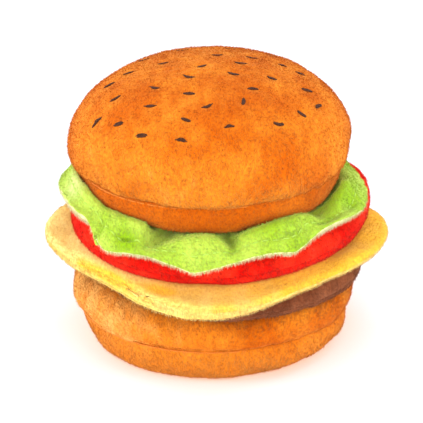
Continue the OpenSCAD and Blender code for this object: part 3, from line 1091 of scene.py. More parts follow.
def crown_under(r: np.ndarray) -> np.ndarray:
    """Height of the top bun's lower cover: flat to r = 48, then a full quarter turn
    z = 70.6 + 14.7 (1 - (1 - t^2.5)^(1 / 2.5)) with t = (r - 48) / 10.1."""
    t = np.clip((r - STACK.turn_from) / STACK.turn_width, 0.0, 1.0)
    climb = 1 - (1 - t ** STACK.turn_power) ** (1 / STACK.turn_power)
    return STACK.crown + STACK.turn_height * climb


def lumps(cover: Cover, height: float, size: float, seed: int) -> Cover:
    """The cover with soft hollows and swellings of a height, as stuffing leaves them."""
    wide = Lattice(size, seed)(cover.points)
    fine = Lattice(size * 0.45, seed + 1)(cover.points)
    return cover.raised(height * (wide + 0.45 * fine))


@dataclass(frozen=True)
class Stuffing:
    """Cloth simulation that blows a pad's two covers out from inside.

    The fabric is cut a little larger than the form, so it buckles into soft folds where
    the seam holds it.

    Attributes:
        pressure: Pressure inside.
        spare: Share by which the fabric is larger than the form.
        most: Greatest movement of a point, in millimetres.
        frames: Number of frames.
        scale: Metres in the simulation for a millimetre of the toy.
        stride: Rows and columns of the cover for one of the simulation.
        bending: Stiffness of the fabric against bending.
        soft: Rounds of averaging.
    """

    pressure: float = 4.0
    spare: float = 0.08
    most: float = 1.8
    frames: int = 20
    scale: float = 0.01
    stride: int = 2
    bending: float = 60.0
    soft: int = 4

    def rows(self, cover: Cover) -> np.ndarray:
        """Rows that take part: every second one and the last, but never a pole."""
        count = cover.points.shape[0]
        first = self.stride if cover.has_pole else 0
        return np.unique(np.append(np.arange(first, count, self.stride), count - 1))

    def moved(self, low: Cover, top: Cover) -> tuple[Cover, Cover]:
        """Both covers after the simulation.

        Each point moves by the simulated way d, less the ring's mean way outward so that
        the pad keeps its size. It is then averaged with its neighbours' in the weights
        1 : 2 : 1, a number of rounds, because thick pile hides a sharp crease, and is
        shortened to most * tanh(|d| / most) where its cover is exposed. Between simulated
        points the way is linear.

        Args:
            low: Lower cover.
            top: Upper cover, which shares its last row with the lower one.
        """
        picks = [self.rows(cover) for cover in (low, top)]
        seam = len(picks[0]) - 1

        def both(low_values: np.ndarray, top_values: np.ndarray) -> np.ndarray:
            """One grid over both covers, from the lower one's middle to the upper one's."""
            return np.concatenate([low_values[picks[0], ::self.stride],
                                   top_values[picks[1], ::self.stride][-2::-1]])

        start = both(low.points, top.points)
        held = 1.0 - both(low.exposed, top.exposed)
        held[seam] = 1.0
        quads, triangles = grid_faces(np.arange(held.size).reshape(held.shape),
                                      wraps_rows=False)
        piece = mesh_of("stuffed_form", start.reshape(-1, 3) * self.scale / MM,
                        quads[:, ::-1], triangles)
        self.run(piece, held.ravel())
        done = piece.evaluated_get(bpy.context.evaluated_depsgraph_get()).to_mesh()
        co = np.zeros(held.size * 3, np.float32)
        done.vertices.foreach_get("co", co)
        way = co.reshape(start.shape) / self.scale - start
        bpy.data.meshes.remove(piece.data)
        normal = both(low.normals(), top.normals())
        out = (way * normal).sum(-1, keepdims=True)
        way = way - normal * out.mean(1, keepdims=True)
        for _ in range(self.soft):
            way = 0.5 * way + 0.25 * (np.roll(way, 1, 1) + np.roll(way, -1, 1))
            edged = np.concatenate([way[:1], way, way[-1:]])
            way = 0.5 * way + 0.25 * (edged[:-2] + edged[2:])
        length = np.linalg.norm(way, axis=-1, keepdims=True)
        log.info("stuffed: moves %.2f at most, %.2f on average", length.max(), length.mean())
        way *= self.most * np.tanh(length / self.most) / np.maximum(length, 1e-6)
        return (self.laid(low, way[:seam + 1], picks[0]),
                self.laid(top, way[seam:][::-1], picks[1]))

    def run(self, piece: bpy.types.Object, held: np.ndarray) -> None:
        """Gives a piece its cloth and steps the frames.

        Args:
            piece: The closed form.
            held: Weight with which each vertex is held in place.
        """
        group = piece.vertex_groups.new(name="held")
        for level in np.unique(np.round(held, 1)):
            chosen = np.flatnonzero(np.round(held, 1) == level)
            group.add(chosen.tolist(), float(level), "REPLACE")
        cloth = piece.modifiers.new("stuffing", "CLOTH")
        rules = cloth.settings
        rules.use_pressure, rules.uniform_pressure_force = True, self.pressure
        rules.bending_stiffness = self.bending
        rules.shrink_min = -self.spare
        rules.vertex_group_mass = "held"
        rules.effector_weights.gravity = 0.0
        for frame in range(1, self.frames + 1):
            bpy.context.scene.frame_set(frame)

    def laid(self, cover: Cover, way: np.ndarray, rows: np.ndarray) -> Cover:
        """A cover moved by a way that is known at every second row and column.

        Args:
            cover: The cover.
            way: Ways of the simulated points.
            rows: Their rows.

        Returns:
            The cover, moved.
        """
        count, columns = cover.points.shape[:2]
        if cover.has_pole:
            mean = way.mean(1, keepdims=True)
            way = mean + (way - mean) * smooth(0.0, 6.0, np.arange(len(way)))[:, None, None]
            rows, way = np.append(0, rows), np.concatenate([way[:1], way])
        full = np.zeros((count, columns, 3))
        every = np.arange(0, columns, self.stride)
        for axis in range(3):
            by_row = np.array([np.interp(np.arange(count), rows, column)
                               for column in way[..., axis].T]).T
            full[..., axis] = np.array([np.interp(np.arange(columns), every, row,
                                                  period=columns) for row in by_row])
        points = cover.points + full * cover.exposed[..., None]
        return Cover(points, cover.side, cover.exposed, cover.has_pole)


def joined(low: Cover, top: Cover) -> tuple[Cover, Cover]:
    """Two covers whose last rows both lie on their mean, so that the seam is shut."""
    seam = 0.5 * (low.points[-1] + top.points[-1])
    low.points[-1], top.points[-1] = seam, seam
    return low, top


def steps_out(start: float, end: float, count: int, z: float) -> np.ndarray:
    """Level stretch of a profile."""
    return np.stack([np.linspace(start, end, count), np.full(count, z)], 1)


# ---- round slices


@dataclass
class RoundPad:
    """Puffed round slice between two covers that are sewn together at its edge.

    Attributes:
        name: What its pieces are called by.
        velour: Its fabric.
        radius: Greatest radius.
        thickness: Thickness.
        edge: Width of the rounded edge.
        flat: Radius at which it starts to droop.
        low: Height of its underside.
        droops: How far its edge hangs, at angles in degrees.
        reaches: How much further its edge reaches than the radius, at angles in degrees.
        bare: Radii inside which the underside and the top lie on a neighbour.
        naps: How the pile of the top and of the underside lies.
        roll: Height of the lumps.
        seed: Seed of its lumps.
        bend: Power of the curve in which it droops.
        stuffing: How it is stuffed.
        fill: How tightly it is stuffed.
        wall: How far its filling stays inside its outer surface.
    """

    name: str
    velour: Velour
    radius: float
    thickness: float
    edge: float
    flat: float
    low: float
    droops: Table
    reaches: Table
    bare: Point
    naps: tuple[Nap, Nap]
    roll: float
    seed: int
    bend: float = 2.0
    stuffing: Stuffing = Stuffing(spare=0.08)
    fill: float = 0.7
    wall: float = 2.8

    def profile(self, inset: float, step: float) -> np.ndarray:
        """Rows from the eyelet to the edge, as radius and share of the half thickness.

        Out to the rounded edge the share is 1; then r = round + edge sin a and the share
        is cos a.

        Args:
            inset: How far it is drawn in from the outer surface.
            step: Distance between rows.

        Returns:
            Rows [r, share].
        """
        half = self.thickness / 2 - inset
        a = np.linspace(0.0, math.pi / 2, 30)
        level = np.linspace(STACK.eyelet, self.radius - self.edge, 40)
        r = np.concatenate([level, self.radius - self.edge + (self.edge - inset) * np.sin(a)])
        rise = np.concatenate([np.full(40, half), half * np.cos(a)])
        rows = spread_evenly(np.stack([r, rise], 1), step)
        return rows / np.array([1.0, half])

    def grid(self, side: Side, inset: float, step: float) -> np.ndarray:
        """Grid of one side: z = low + thickness / 2 - droop s^bend + side half share.

        s runs from 0 at the flat's radius to 1 at the edge, and the reach is added to the
        radius in the measure (r / radius)^3.

        Args:
            side: Which side.
            inset: How far it is drawn in from the outer surface.
            step: Distance between rows.

        Returns:
            Its points.
        """
        rows = self.profile(inset, step)
        r, share = rows[:, :1], rows[:, 1:]
        angle = around()[None, :]
        sunk = np.maximum(0.0, r - self.flat) / (self.radius - self.flat)
        middle = (self.low + self.thickness / 2
                  - round_table(self.droops, angle, 9.0) * sunk ** self.bend)
        z = middle + side.value * (self.thickness / 2 - inset) * share
        wide = r + round_table(self.reaches, angle, 7.0) * (r / self.radius) ** 3
        return polar(wide, angle, z)

    def covers(self) -> tuple[Cover, Cover]:
        """Both covers, stuffed and then gathered along their seam.

        Returns:
            The lower cover and the upper one.
        """
        done = []
        for side, start in zip((Side.BOTTOM, Side.TOP), self.bare):
            points = self.grid(side, 0.0, ROW_STEP)
            r = np.hypot(points[..., 0], points[..., 1])
            cover = Cover(points, side, smooth(start, start + 5.0, r))
            done.append(lumps(cover, self.roll, 17.0, self.seed))
        pucker = 0.35 * puckers(around()[None, :], self.seed, (30, 64))
        return joined(*(cover.gathered(pucker, 4.0, (0.3, 1.5), 0.45)
                        for cover in self.stuffing.moved(*done)))

    def build(self, builder: Builder) -> None:
        """Makes both covers with their pile, and the filling."""
        covers = self.covers()
        for cover, nap, word in zip(covers, self.naps[::-1], ("bottom", "top")):
            builder.cloth(f"{self.name}_{word}_cover", cover, nap, self.velour,
                          self.name, f"{self.name}_{word}_panel", self.fill)
        low, top = (self.grid(side, self.wall, 2 * ROW_STEP)
                    for side in (Side.BOTTOM, Side.TOP))
        builder.filling(solid_between(f"{self.name}_fibre", low, top), self.name,
                        f"{self.name}_stuffing", self.fill)


def patty() -> RoundPad:
    """The patty, whose edge hangs over the bottom bun's shoulder."""
    nap = Nap(towards=(0.2, -0.6, -0.8), bias=0.45, swing=0.6, seed=31, per_mm2=2.2)
    low = Nap(towards=(0.0, -0.5, -0.8), bias=0.3, swing=0.5, seed=37, per_mm2=2.2)
    droops = ((0, 5), (60, 4.5), (120, 4), (180, 1.5), (235, 1.5), (270, 3.5), (320, 5))
    reaches = ((0, 3.6), (45, 3), (90, 1.5), (135, -2), (180, -7), (205, -10), (220, -9),
               (240, -5), (270, -1), (300, 0.5), (325, 2))
    return RoundPad("patty", PATTY_CLOTH, 65.0, 12.0, 9.0, 44.0, STACK.patty, droops,
                    reaches, (55.0, 58.0), (nap, low), 0.5, 33)


def tomato() -> RoundPad:
    """The tomato slice, which lies a little to the right."""
    nap = Nap(towards=(0.5, -0.4, -0.7), bias=0.55, swing=0.9, seed=41, patch=9.0)
    low = Nap(towards=(0.5, -0.4, -0.7), bias=0.35, swing=0.7, seed=43, patch=9.0)
    droops = ((0, -3.2), (28, -6.6), (60, 0), (120, 1.5), (240, 1.5), (330, 1.5))
    reaches = ((0, 5.2), (10, 5.6), (28, 10), (40, 7.5), (60, 2.5), (90, 0), (135, -2.5),
               (180, -4), (212, -4), (230, -2), (243, 0.3), (270, 0.7), (286, 1),
               (302, -1), (330, -0.8), (346, 2.2))
    return RoundPad("tomato", TOMATO_CLOTH, 66.7, 12.8, 6.7, 44.0, STACK.tomato, droops,
                    reaches, (59.0, 59.0), (nap, low), 0.4, 45, bend=5.0)


# ---- cheese


@dataclass
class Cheese:
    """Rounded square of cheese that stands on its corner and droops over the patty."""

    half_side: float = 65.0
    power: float = 3.9
    thickness: float = 4.2
    edge_thickness: float = 5.6
    edge: float = 4.5
    flat: float = 46.0
    droop: float = 3.4
    drooped_at: float = 62.0
    turns: Table = (
        (0, 3), (90, 1.5), (180, -4.5), (270, 0))
    reaches: Table = (
        (0, 3), (15, 3), (35, 2), (60, 0.5), (120, -0.5), (160, 0), (180, -2),
        (200, -2.8), (225, -1.6), (250, 0), (270, 1), (300, 1.8), (320, 4), (335, 5.4),
        (350, 4.6))
    lifts: Table = (
        (0, 1.6), (12, 3.1), (25, 2.3), (45, 0.6), (90, 0), (135, 1), (158, 3.4), (175, 0.6),
        (195, -1), (215, -1.4), (240, -1.4), (262, -1.5), (275, -1.5), (300, -0.6),
        (320, -0.4), (345, 1))
    rims: Table = (
        (0, 0), (150, 0), (185, 1), (200, 3), (215, 3.8), (240, 3.4), (262, 2), (280, 1),
        (300, 0.4), (330, 0))
    crease: float = 1.6
    stuffing: Stuffing = Stuffing(spare=0.04, most=0.8)
    seed: int = 51
    fill: float = 0.4
    wall: float = 1.8
    columns: int = 288

    def reach(self, angle: np.ndarray) -> np.ndarray:
        """Distance of the edge: half_side / (|cos|^p + |sin|^p)^(1/p) at 45 degrees off,
        each corner turned a little by itself, plus the table of reaches."""
        a = angle - np.radians(45.0 + round_table(self.turns, angle, 20.0))
        c, s = np.abs(np.cos(a)), np.abs(np.sin(a))
        reach = self.half_side / (c ** self.power + s ** self.power) ** (1 / self.power)
        return reach + round_table(self.reaches, angle, 7.0)

    def grid(self, side: Side, inset: float, rows: tuple[int, int]) -> np.ndarray:
        """Grid of one side, leading from the eyelet out and round the edge.

        The underside lies at low - droop b with b = ((r - flat) / (drooped_at - flat))^2
        kept in 0..1, and the thickness grows by the same share b. Past r = 61 the edge
        rises by the table of lifts, and the lower cover hangs by rim sin(2 a).

        Args:
            side: Which side.
            inset: How far it is drawn in from the outer surface.
            rows: Number of rows on the level and on the rounded part.

        Returns:
            Its points.
        """
        angle = around(self.columns)[None, :]
        level, rounded = rows
        a = np.append(np.zeros(level), np.linspace(0, math.pi / 2, rounded + 1))[:, None]
        way = np.append(np.linspace(0, 1, level + 1), np.ones(rounded))[:, None]
        reach = self.reach(angle)
        r = (STACK.eyelet + (reach - self.edge - STACK.eyelet) * way
             + (self.edge - 2 * inset) * np.sin(a))
        bend = np.clip((r - self.flat) / (self.drooped_at - self.flat), 0, 1) ** 2
        half = (self.thickness + (self.edge_thickness - self.thickness) * bend) / 2
        lift = round_table(self.lifts, angle, 6.0) * smooth(60.0, 67.0, r)
        z = (STACK.cheese - self.droop * bend + half + lift
             + side.value * (half - inset) * np.cos(a))
        if side is Side.BOTTOM:
            z = z - round_table(self.rims, angle, 8.0) * np.sin(2 * a)
        return polar(r, angle, z)

    def covers(self) -> tuple[Cover, Cover]:
        """Both covers, stuffed, with a crease that runs along the seam at the front left.

        Returns:
            The lower cover and the upper one.
        """
        angle = around(self.columns)[None, :]
        done = []
        for side, start in ((Side.BOTTOM, 58.0), (Side.TOP, 60.0)):
            points = self.grid(side, 0.0, (52, 10))
            r = np.hypot(points[..., 0], points[..., 1])
            done.append(lumps(Cover(points, side, smooth(start, start + 5.0, r)), 0.45, 21.0,
                              self.seed))
        edge = self.reach(angle) - r
        off = off_by(angle, 236.0)
        deep = self.crease * np.exp(-((off / 40.0) ** 2)) + 0.3
        gathers = 0.22 * puckers(angle, self.seed + 3, (26, 60)) * np.exp(-np.abs(edge) / 4.0)
        relief = gathers - deep * np.exp(-((edge / 1.6) ** 2)) - 0.4
        return joined(*(cover.raised(relief) for cover in self.stuffing.moved(*done)))

    def build(self, builder: Builder) -> None:
        """Makes both covers with their pile, and the wadding."""
        # Painted shade: marks darken the nap along the crease at the front left of both
        # covers; the top's nap also rises to the left, painted light.
        crease = marks_along(((-58.5, -28, 46.3), (-49.4, -38.2, 46.3), (-40.5, -48, 46.3),
                              (-26.4, -57.5, 46.3), (-14, -65, 46.3)), 3.0, -0.7)
        top = Nap(towards=(0.3, -0.9, -0.2), bias=0.5, swing=0.4, seed=53, length=1.5,
                  patch=20.0, painted_light_slope=(-0.01, 0.0, 0.0), marks=crease)
        low = Nap(towards=(0.3, -0.5, -0.8), bias=0.7, swing=0.3, seed=57, length=1.7,
                  marks=crease)
        for cover, nap, word in zip(self.covers(), (low, top), ("bottom", "top")):
            builder.cloth(f"cheese_{word}_cover", cover, nap, CHEESE_CLOTH, "cheese",
                          f"cheese_{word}_panel", self.fill)
        low_grid, top_grid = (self.grid(side, self.wall, (26, 5))
                              for side in (Side.BOTTOM, Side.TOP))
        builder.filling(solid_between("cheese_wad", low_grid, top_grid), "cheese",
                        "cheese_wadding", self.fill)


# ---- lettuce


@dataclass(frozen=True)
class Fold:
    """Dent in the leaf's top: a bell round a place, longer than it is wide."""

    degrees: float
    radius: float
    length: float
    width: float
    depth: float


@dataclass
class Lettuce:
    """Two-ply leaf with a ruffled edge, a stitch line inside it, and a roll of wadding."""

    thickness: float = 5.2
    flat: float = 57.0
    lip: float = 2.4
    rim: float = 1.5
    bun_room: float = 0.9
    bun_gap: float = 0.8
    bun_end: float = 59.0
    stitch_in: float = 4.6
    ridge: float = 60.8
    edges: tuple[Vector3, ...] = (
        (0, 67.5, 70), (8, 69.2, 68.4), (15, 69.6, 68.4), (24, 68.4, 69.4), (30, 68, 70.6),
        (40, 67.5, 71.6), (50, 68, 71.6), (60, 70.5, 70),
        (75, 69, 69), (90, 65, 72), (105, 67, 71), (120, 71, 68), (135, 70, 68),
        (150, 66, 70), (165, 69, 69), (180, 72.5, 67.5), (196, 75, 67.5), (212, 74.5, 68.5),
        (218.5, 73.4, 67.5), (222, 69.5, 69), (226, 65.4, 69.8), (230, 64, 71),
        (234, 64.6, 71.3), (240, 66.2, 71), (247.5, 66.8, 71), (253, 65.3, 71.5),
        (259, 64.2, 73), (264, 62.6, 75.4), (269, 63.4, 73.6), (277.6, 65.5, 71),
        (285, 67.6, 70.5), (292, 68.2, 70.5), (297, 67.8, 72), (300, 67.2, 73),
        (304, 68, 71), (309, 69.3, 69), (314, 71.4, 68.8), (320, 72, 68.8), (326, 71.6, 69),
        (334, 70, 69.4), (345, 67.5, 70))
    crests: Table = (
        (0, 76), (10, 75), (20, 74.6), (40, 77), (58, 79), (70, 74), (83, 71), (95, 73),
        (110, 77), (125, 79), (140, 76), (152, 73), (165, 77), (180, 81), (195, 82), (206, 81),
        (214, 79), (219, 77.5), (227, 77.4), (233, 77), (238, 76.6), (241.8, 76),
        (243.4, 74.6), (244.6, 66.6), (246, 66.8), (250, 69), (256, 71.8), (262, 73.8),
        (269, 74.4), (273, 73), (276, 70.6), (278.8, 67.6), (281.5, 72.6), (288, 75.4),
        (294, 77), (300, 78), (309, 78), (315, 76), (319, 73), (323, 71.5), (328, 73),
        (336, 76), (348, 79))
    folds: tuple[Fold, ...] = (
        Fold(236.5, 65.6, 5.0, 1.7, 5.0), Fold(225, 66.6, 1.5, 3.4, 3.6),
        Fold(198, 64.5, 9.0, 1.1, 1.2), Fold(256, 66.0, 5.0, 1.1, 1.0),
        Fold(275, 65.5, 4.0, 1.1, 1.0), Fold(299, 66.0, 8.0, 1.2, 2.0),
        Fold(340, 65.0, 8.0, 2.4, 3.0), Fold(318, 64.5, 5.0, 1.4, 1.2),
        Fold(20, 64.5, 7.0, 2.0, 1.4), Fold(62, 64.0, 6.0, 2.0, 1.8),
        Fold(118, 64.5, 7.0, 2.0, 1.8), Fold(160, 65.0, 6.0, 2.2, 1.2))
    seed: int = 61
    columns: int = 360
    fill: float = 0.5
    wall: float = 1.7
    wad_rows: int = 15

    def reach(self, angle: np.ndarray) -> np.ndarray:
        """Distance of the edge from the middle."""
        return round_table(tuple((d, r) for d, _, r in self.edges), angle, 1.3)

    def middle(self, angle: np.ndarray, r: np.ndarray) -> np.ndarray:
        """Height halfway between the plies: level, then a parabola to the edge's height."""
        level = STACK.leaf + self.thickness / 2
        edge = round_table(tuple((d, z) for d, z, _ in self.edges), angle, 1.3)
        share = np.maximum(0, r - self.flat) / (self.reach(angle) - self.flat)
        return level + (edge - level) * share ** 2

    def lip_half(self, inside: np.ndarray) -> np.ndarray:
        """Half the thickness of the flat lip, with a round edge."""
        share = np.clip(inside / self.lip, 0, 1)
        return self.rim * np.sqrt(np.clip(1 - (1 - share) ** 2, 0, 1))

    def under(self, angle: np.ndarray, r: np.ndarray) -> np.ndarray:
        """Height of the underside: the middle less half the thickness."""
        inside = self.reach(angle) - r
        more = (self.thickness / 2 - self.rim) * smooth(self.stitch_in, 9.0, inside)
        return self.middle(angle, r) - self.lip_half(inside) - more

    def top(self, angle: np.ndarray, r: np.ndarray) -> np.ndarray:
        """Height of the top.

        From the edge at t = 0 to the ridge at t = 1 it swells from the lip to the crest:
        z = lip + (crest - lip) u^2 (3 - 2 u) with u = t^0.85. It sinks by 1.2 further in,
        by a channel at the stitch line and by the folds, but leaves the plies their own
        thickness. Under the top bun it stays a gap below the bun's underside.

        Args:
            angle: Angles of the points.
            r: Radii of the points.

        Returns:
            Their heights.
        """
        reach = self.reach(angle)
        inside = reach - r
        lip = self.middle(angle, r) + self.lip_half(inside)
        t = np.clip(inside / (reach - self.ridge), 0, 1) ** 0.85
        crest = round_table(self.crests, angle, 0.9)
        z = lip + (crest - lip) * t * t * (3 - 2 * t)
        z = z - 1.2 * smooth(self.ridge - 1.5, 56.0, r)
        z = z - 0.35 * np.exp(-(((inside - self.stitch_in) / 1.5) ** 2))
        for fold in self.folds:
            along = np.radians(off_by(angle, fold.degrees)) * fold.radius
            z = z - fold.depth * np.exp(-((along / fold.length) ** 2)
                                        - ((r - fold.radius) / fold.width) ** 2)
        z = np.maximum(z, self.under(angle, r) + 2.7 * smooth(0.0, self.lip, inside))
        ceiling = (crown_under(r - self.bun_room)
                   + TILT * r * np.cos(angle) * smooth(46.0, 58.0, r))
        return np.where(r > self.bun_end, z, np.minimum(z, ceiling - self.bun_gap))

    def radii(self, angle: np.ndarray) -> np.ndarray:
        """Radii of the rows: few on the level, then close together out to the edge."""
        reach = self.reach(angle)[None, :]
        level = np.array([STACK.eyelet, 12.0, 24.0, 36.0, 44.0])[:, None] + 0 * reach
        way = np.sin(np.linspace(0, math.pi / 2, 38) ** 0.8 / (math.pi / 2) ** 0.8
                     * math.pi / 2)[1:, None]
        return np.concatenate([level, 44.0 + (reach - 44.0) * way])

    def cover(self, side: Side) -> Cover:
        """One ply of the leaf, with fine wrinkles across its edge.

        Args:
            side: Which ply.

        Returns:
            Its cover.
        """
        angle = around(self.columns)
        r = self.radii(angle)
        around_all = angle[None, :] + 0 * r
        z = self.top(around_all, r) if side is Side.TOP else self.under(around_all, r)
        points = polar(r, around_all, z)
        inside = self.reach(angle)[None, :] - r
        exposed = smooth(50.0, 56.0, r) if side is Side.TOP else smooth(17.0, 9.0, inside)
        cover = Cover(points, side, exposed)
        wrinkles = 0.3 * puckers(around_all, self.seed, (40, 90)) * np.exp(-inside / 5.0)
        mask = 1.0 if side is Side.TOP else 0.5
        return cover.raised(mask * (wrinkles + 0.4 * Lattice(9.0, self.seed)(points)) - 0.2)

    def stitches(self, builder: Builder) -> None:
        """Stitches in the channel, each a short thread that dips at both ends."""
        count, steps = 96, 9
        centre = (np.arange(count) + 0.5) * 2 * math.pi / count
        half_turn = 1.7 / 66.0
        s = np.linspace(-1, 1, steps)[None, :]
        angle = centre[:, None] + half_turn * s
        r = self.reach(angle) - self.stitch_in
        path = polar(r, angle, self.top(angle, r) - 0.1 - 0.5 * s ** 2)
        up = np.broadcast_to(np.array([0.0, 0.0, 1.0]), path.shape)
        piece = tube("lettuce_stitches", path, up, tapered(s, 0.32) + 0 * angle, 8,
                     closed=False)
        builder.add(piece, LEAF_THREAD, "lettuce", "leaf_thread", "lettuce_topstitches")

    def build(self, builder: Builder) -> None:
        """Makes both plies with their pile, the wadding and the stitches."""
        # Painted light and shade on the top ply: its marks darken folds and valleys and paint
        # highlights on the left and right lobes, and its nap rises to the left. The lower
        # ply's high bias paints it pale, partly its own colour and partly painted light.
        top = Nap(towards=(0.25, -0.8, -0.5), bias=0.6, swing=0.4, seed=63, patch=16.0,
                  painted_light_slope=(-0.004, 0.0, 0.0), marks=(
                      ((-36, -57, 69), 5.0, -0.6), ((-46, -49, 72), 5.0, -0.4),
                      ((-62, -16, 78), 15.0, 0.6), ((60, -9, 73), 6.0, -0.4),
                      ((66, 8, 70), 7.0, 0.9), ((62, -28, 70), 5.0, 0.5)))
        low = Nap(towards=(0.0, -0.3, -1.0), bias=1.0, swing=0.3, seed=67, length=2.0,
                  lean=45.0)
        top_cover, low_cover = self.cover(Side.TOP), self.cover(Side.BOTTOM)
        builder.cloth("lettuce_upper_leaf", top_cover, top, LEAF_CLOTH, "lettuce",
                      "lettuce_top_ply", self.fill)
        builder.cloth("lettuce_lower_leaf", low_cover, low, LEAF_RIM, "lettuce",
                      "lettuce_bottom_ply", self.fill)
        wall = np.array([0.0, 0.0, self.wall])
        low_grid = low_cover.points[:self.wad_rows] + wall
        top_grid = top_cover.points[:self.wad_rows] - wall
        top_grid[..., 2] = np.maximum(top_grid[..., 2], low_grid[..., 2] + 0.2)
        builder.filling(solid_between("lettuce_wad", low_grid, top_grid), "lettuce",
                        "lettuce_wadding", self.fill)
        self.stitches(builder)


# ---- buns

FIBRE_COLUMNS = 120  # of a bun's filling


def bun_side(top: Point, belly: Point, seam: Point, steps: tuple[int, int]) -> np.ndarray:
    """Profile of a bun from its top: a quarter ellipse to its widest and one to its seam.

    Args:
        top: Where it leaves the level.
        belly: Its widest point.
        seam: Its last point.
        steps: Number of steps on each part.

    Returns:
        Points of the profile.
    """
    over, tuck = arc(belly, top, steps[0], False), arc(seam, belly, steps[1], True)
    return np.concatenate([over[::-1], tuck[::-1][1:]])


@dataclass
class BottomBun:
    """Stuffed bottom bun: a lower cover that it rests on and an upper one, seamed low."""

    radius: float = 62.0
    rest: float = 48.0
    seam: Point = (60.0, 18.0)
    belly: float = 24.0
    flat: float = 46.0
    swells: Table = (
        (0, 2.4), (45, 1), (90, 0.5), (150, 0.8), (195, 0.4), (215, 2), (235, 1.6), (258, 0.8),
        (280, 0.4), (315, 1.6), (340, 2.4))
    low_swells: Table = (
        (0, 3), (45, 1), (90, 0.5), (180, -1.6), (225, -1.6), (270, 0.4), (300, 1.8),
        (330, 3.2))
    stuffing: Stuffing = Stuffing(spare=0.06, most=1.2)
    seed: int = 71
    fill: float = 0.85
    wall: float = 4.4

    def lower(self, inset: float) -> np.ndarray:
        """Profile of the lower cover, from the middle of the resting face to the seam."""
        turn = arc((self.rest, inset), (self.seam[0] - inset, self.seam[1]), 30, True)
        return np.concatenate([steps_out(0.0, self.rest, 20, inset), turn[1:]])

    def upper(self, inset: float) -> np.ndarray:
        """Profile of the upper cover, from the eyelet over the shoulder to the seam."""
        level = steps_out(STACK.eyelet, self.flat, 20, STACK.heel_top - inset)
        side = bun_side((self.flat, STACK.heel_top - inset), (self.radius - inset, self.belly),
                        (self.seam[0] - inset, self.seam[1]), (30, 14))
        return np.concatenate([level, side[1:]])

    def covers(self) -> tuple[Cover, Cover]:
        """Lower and upper cover, gathered along their seam.

        Returns:
            The lower cover and the upper one.
        """
        low = turned_cover(self.lower(0.0), Side.BOTTOM, (49.0, 55.0), True)
        top = turned_cover(self.upper(0.0), Side.TOP, (48.0, 55.0))
        angle = around()[None, :]
        done = []
        for cover, table in ((low, self.low_swells), (top, self.swells)):
            fat = round_table(table, angle, 12.0) * smooth(-6.0, 6.0, cover.to_seam())
            cover = lumps(cover, 0.8, 24.0, self.seed)
            done.append(cover.raised(fat * smooth(0.0, 8.0, cover.points[..., 2])))
        pucker = 0.6 * puckers(angle, self.seed, (26, 50))
        low, top = joined(*(cover.gathered(pucker, 8.0, (0.4, 1.6), 0.5)
                            for cover in self.stuffing.moved(*done)))
        low.points[..., 2] = np.maximum(low.points[..., 2], 0.9 * low.exposed)
        return low, top

    def closing(self, builder: Builder) -> None:
        """Ladder stitches where the slit at the back was sewn shut by hand."""
        count, steps = 9, 11
        angle = math.pi / 2 + np.radians((np.arange(count) - (count - 1) / 2) * 3.2)
        s = np.linspace(0, 1, steps)[None, :]
        lean = angle[:, None] + 0.006 * (s - 0.5)
        z = self.seam[1] - 0.7 - 3.9 * s
        across = np.sqrt(np.clip(1 - (1 - np.clip(z / self.seam[1], 0, 1)) ** 2, 0, 1))
        r = self.rest + (self.seam[0] - self.rest) * across + 0.35 - 2.2 * (s - 0.5) ** 2
        piece = tube("heel_ladder_stitches", polar(r, lean, z), polar(1.0, lean, 0.0),
                     tapered(2 * s - 1, 0.42) + 0 * lean, 10, closed=False)
        builder.add(piece, CRUST_THREAD, "heel", "sewing_thread", "heel_closing_stitches")

    def filling(self, builder: Builder) -> None:
        """Fibre with a pocket for the tie, drawn in by up to 0.7 of lattice noise."""
        body = np.concatenate([spread_evenly(self.lower(self.wall), 2 * ROW_STEP)[1:],
                               spread_evenly(self.upper(self.wall), 2 * ROW_STEP)[::-1]])
        room = (body[:, 0] < 5.2) & (body[:, 1] > 20.0)
        pocket = [[4.0, 32.0], [4.0, 24.8], [0.0, 24.8]]
        profile = np.concatenate([[[0.0, self.wall]], body[~room], pocket])
        points = revolved(profile, FIBRE_COLUMNS)
        noise = 0.35 * (Lattice(9.0, self.seed + 5)(points) - 1.0)
        points = drawn_inward(points, profile, noise, 6.0, 30.0)
        index = numbered(points)
        index[0], index[-1] = index[0, 0], index[-1, 0]
        piece = grid_mesh("heel_fibre", points, [index[:, ::-1]], wraps_rows=False)
        builder.filling(piece, "heel", "heel_stuffing", self.fill)

    def build(self, builder: Builder) -> None:
        """Makes both covers with their pile, the filling and the threads."""
        low, top = self.covers()
        # Painted light: both covers' nap rises to the left, and the upper cover's marks
        # lighten its right front and darken a patch at the front.
        low_nap = Nap(towards=(0.1, -0.5, -0.8), bias=0.85, swing=0.45, seed=73,
                      patch=12.0, painted_light_slope=(-0.004, 0.0, 0.0))
        top_nap = Nap(towards=(-0.1, 0.3, 0.9), bias=0.7, swing=0.6, seed=77, patch=10.0,
                      painted_light_slope=(-0.016, 0.0, 0.0), marks=(
                          ((42, -43, 28), 12.0, 0.8), ((58, -20, 26), 8.0, 0.7),
                          ((20, -58, 24), 10.0, -0.3)))
        builder.cloth("heel_lower_cover", low, low_nap, CRUST, "heel", "heel_bottom_panel",
                      self.fill)
        builder.cloth("heel_upper_cover", top, top_nap, CRUST, "heel", "heel_top_panel",
                      self.fill)
        self.filling(builder)
        thread = groove_thread("heel_thread", self.seam[0] - 0.5, self.seam[1] - 0.55)
        builder.add(thread, CRUST_THREAD, "heel", "sewing_thread", "heel_seam_thread")
        self.closing(builder)


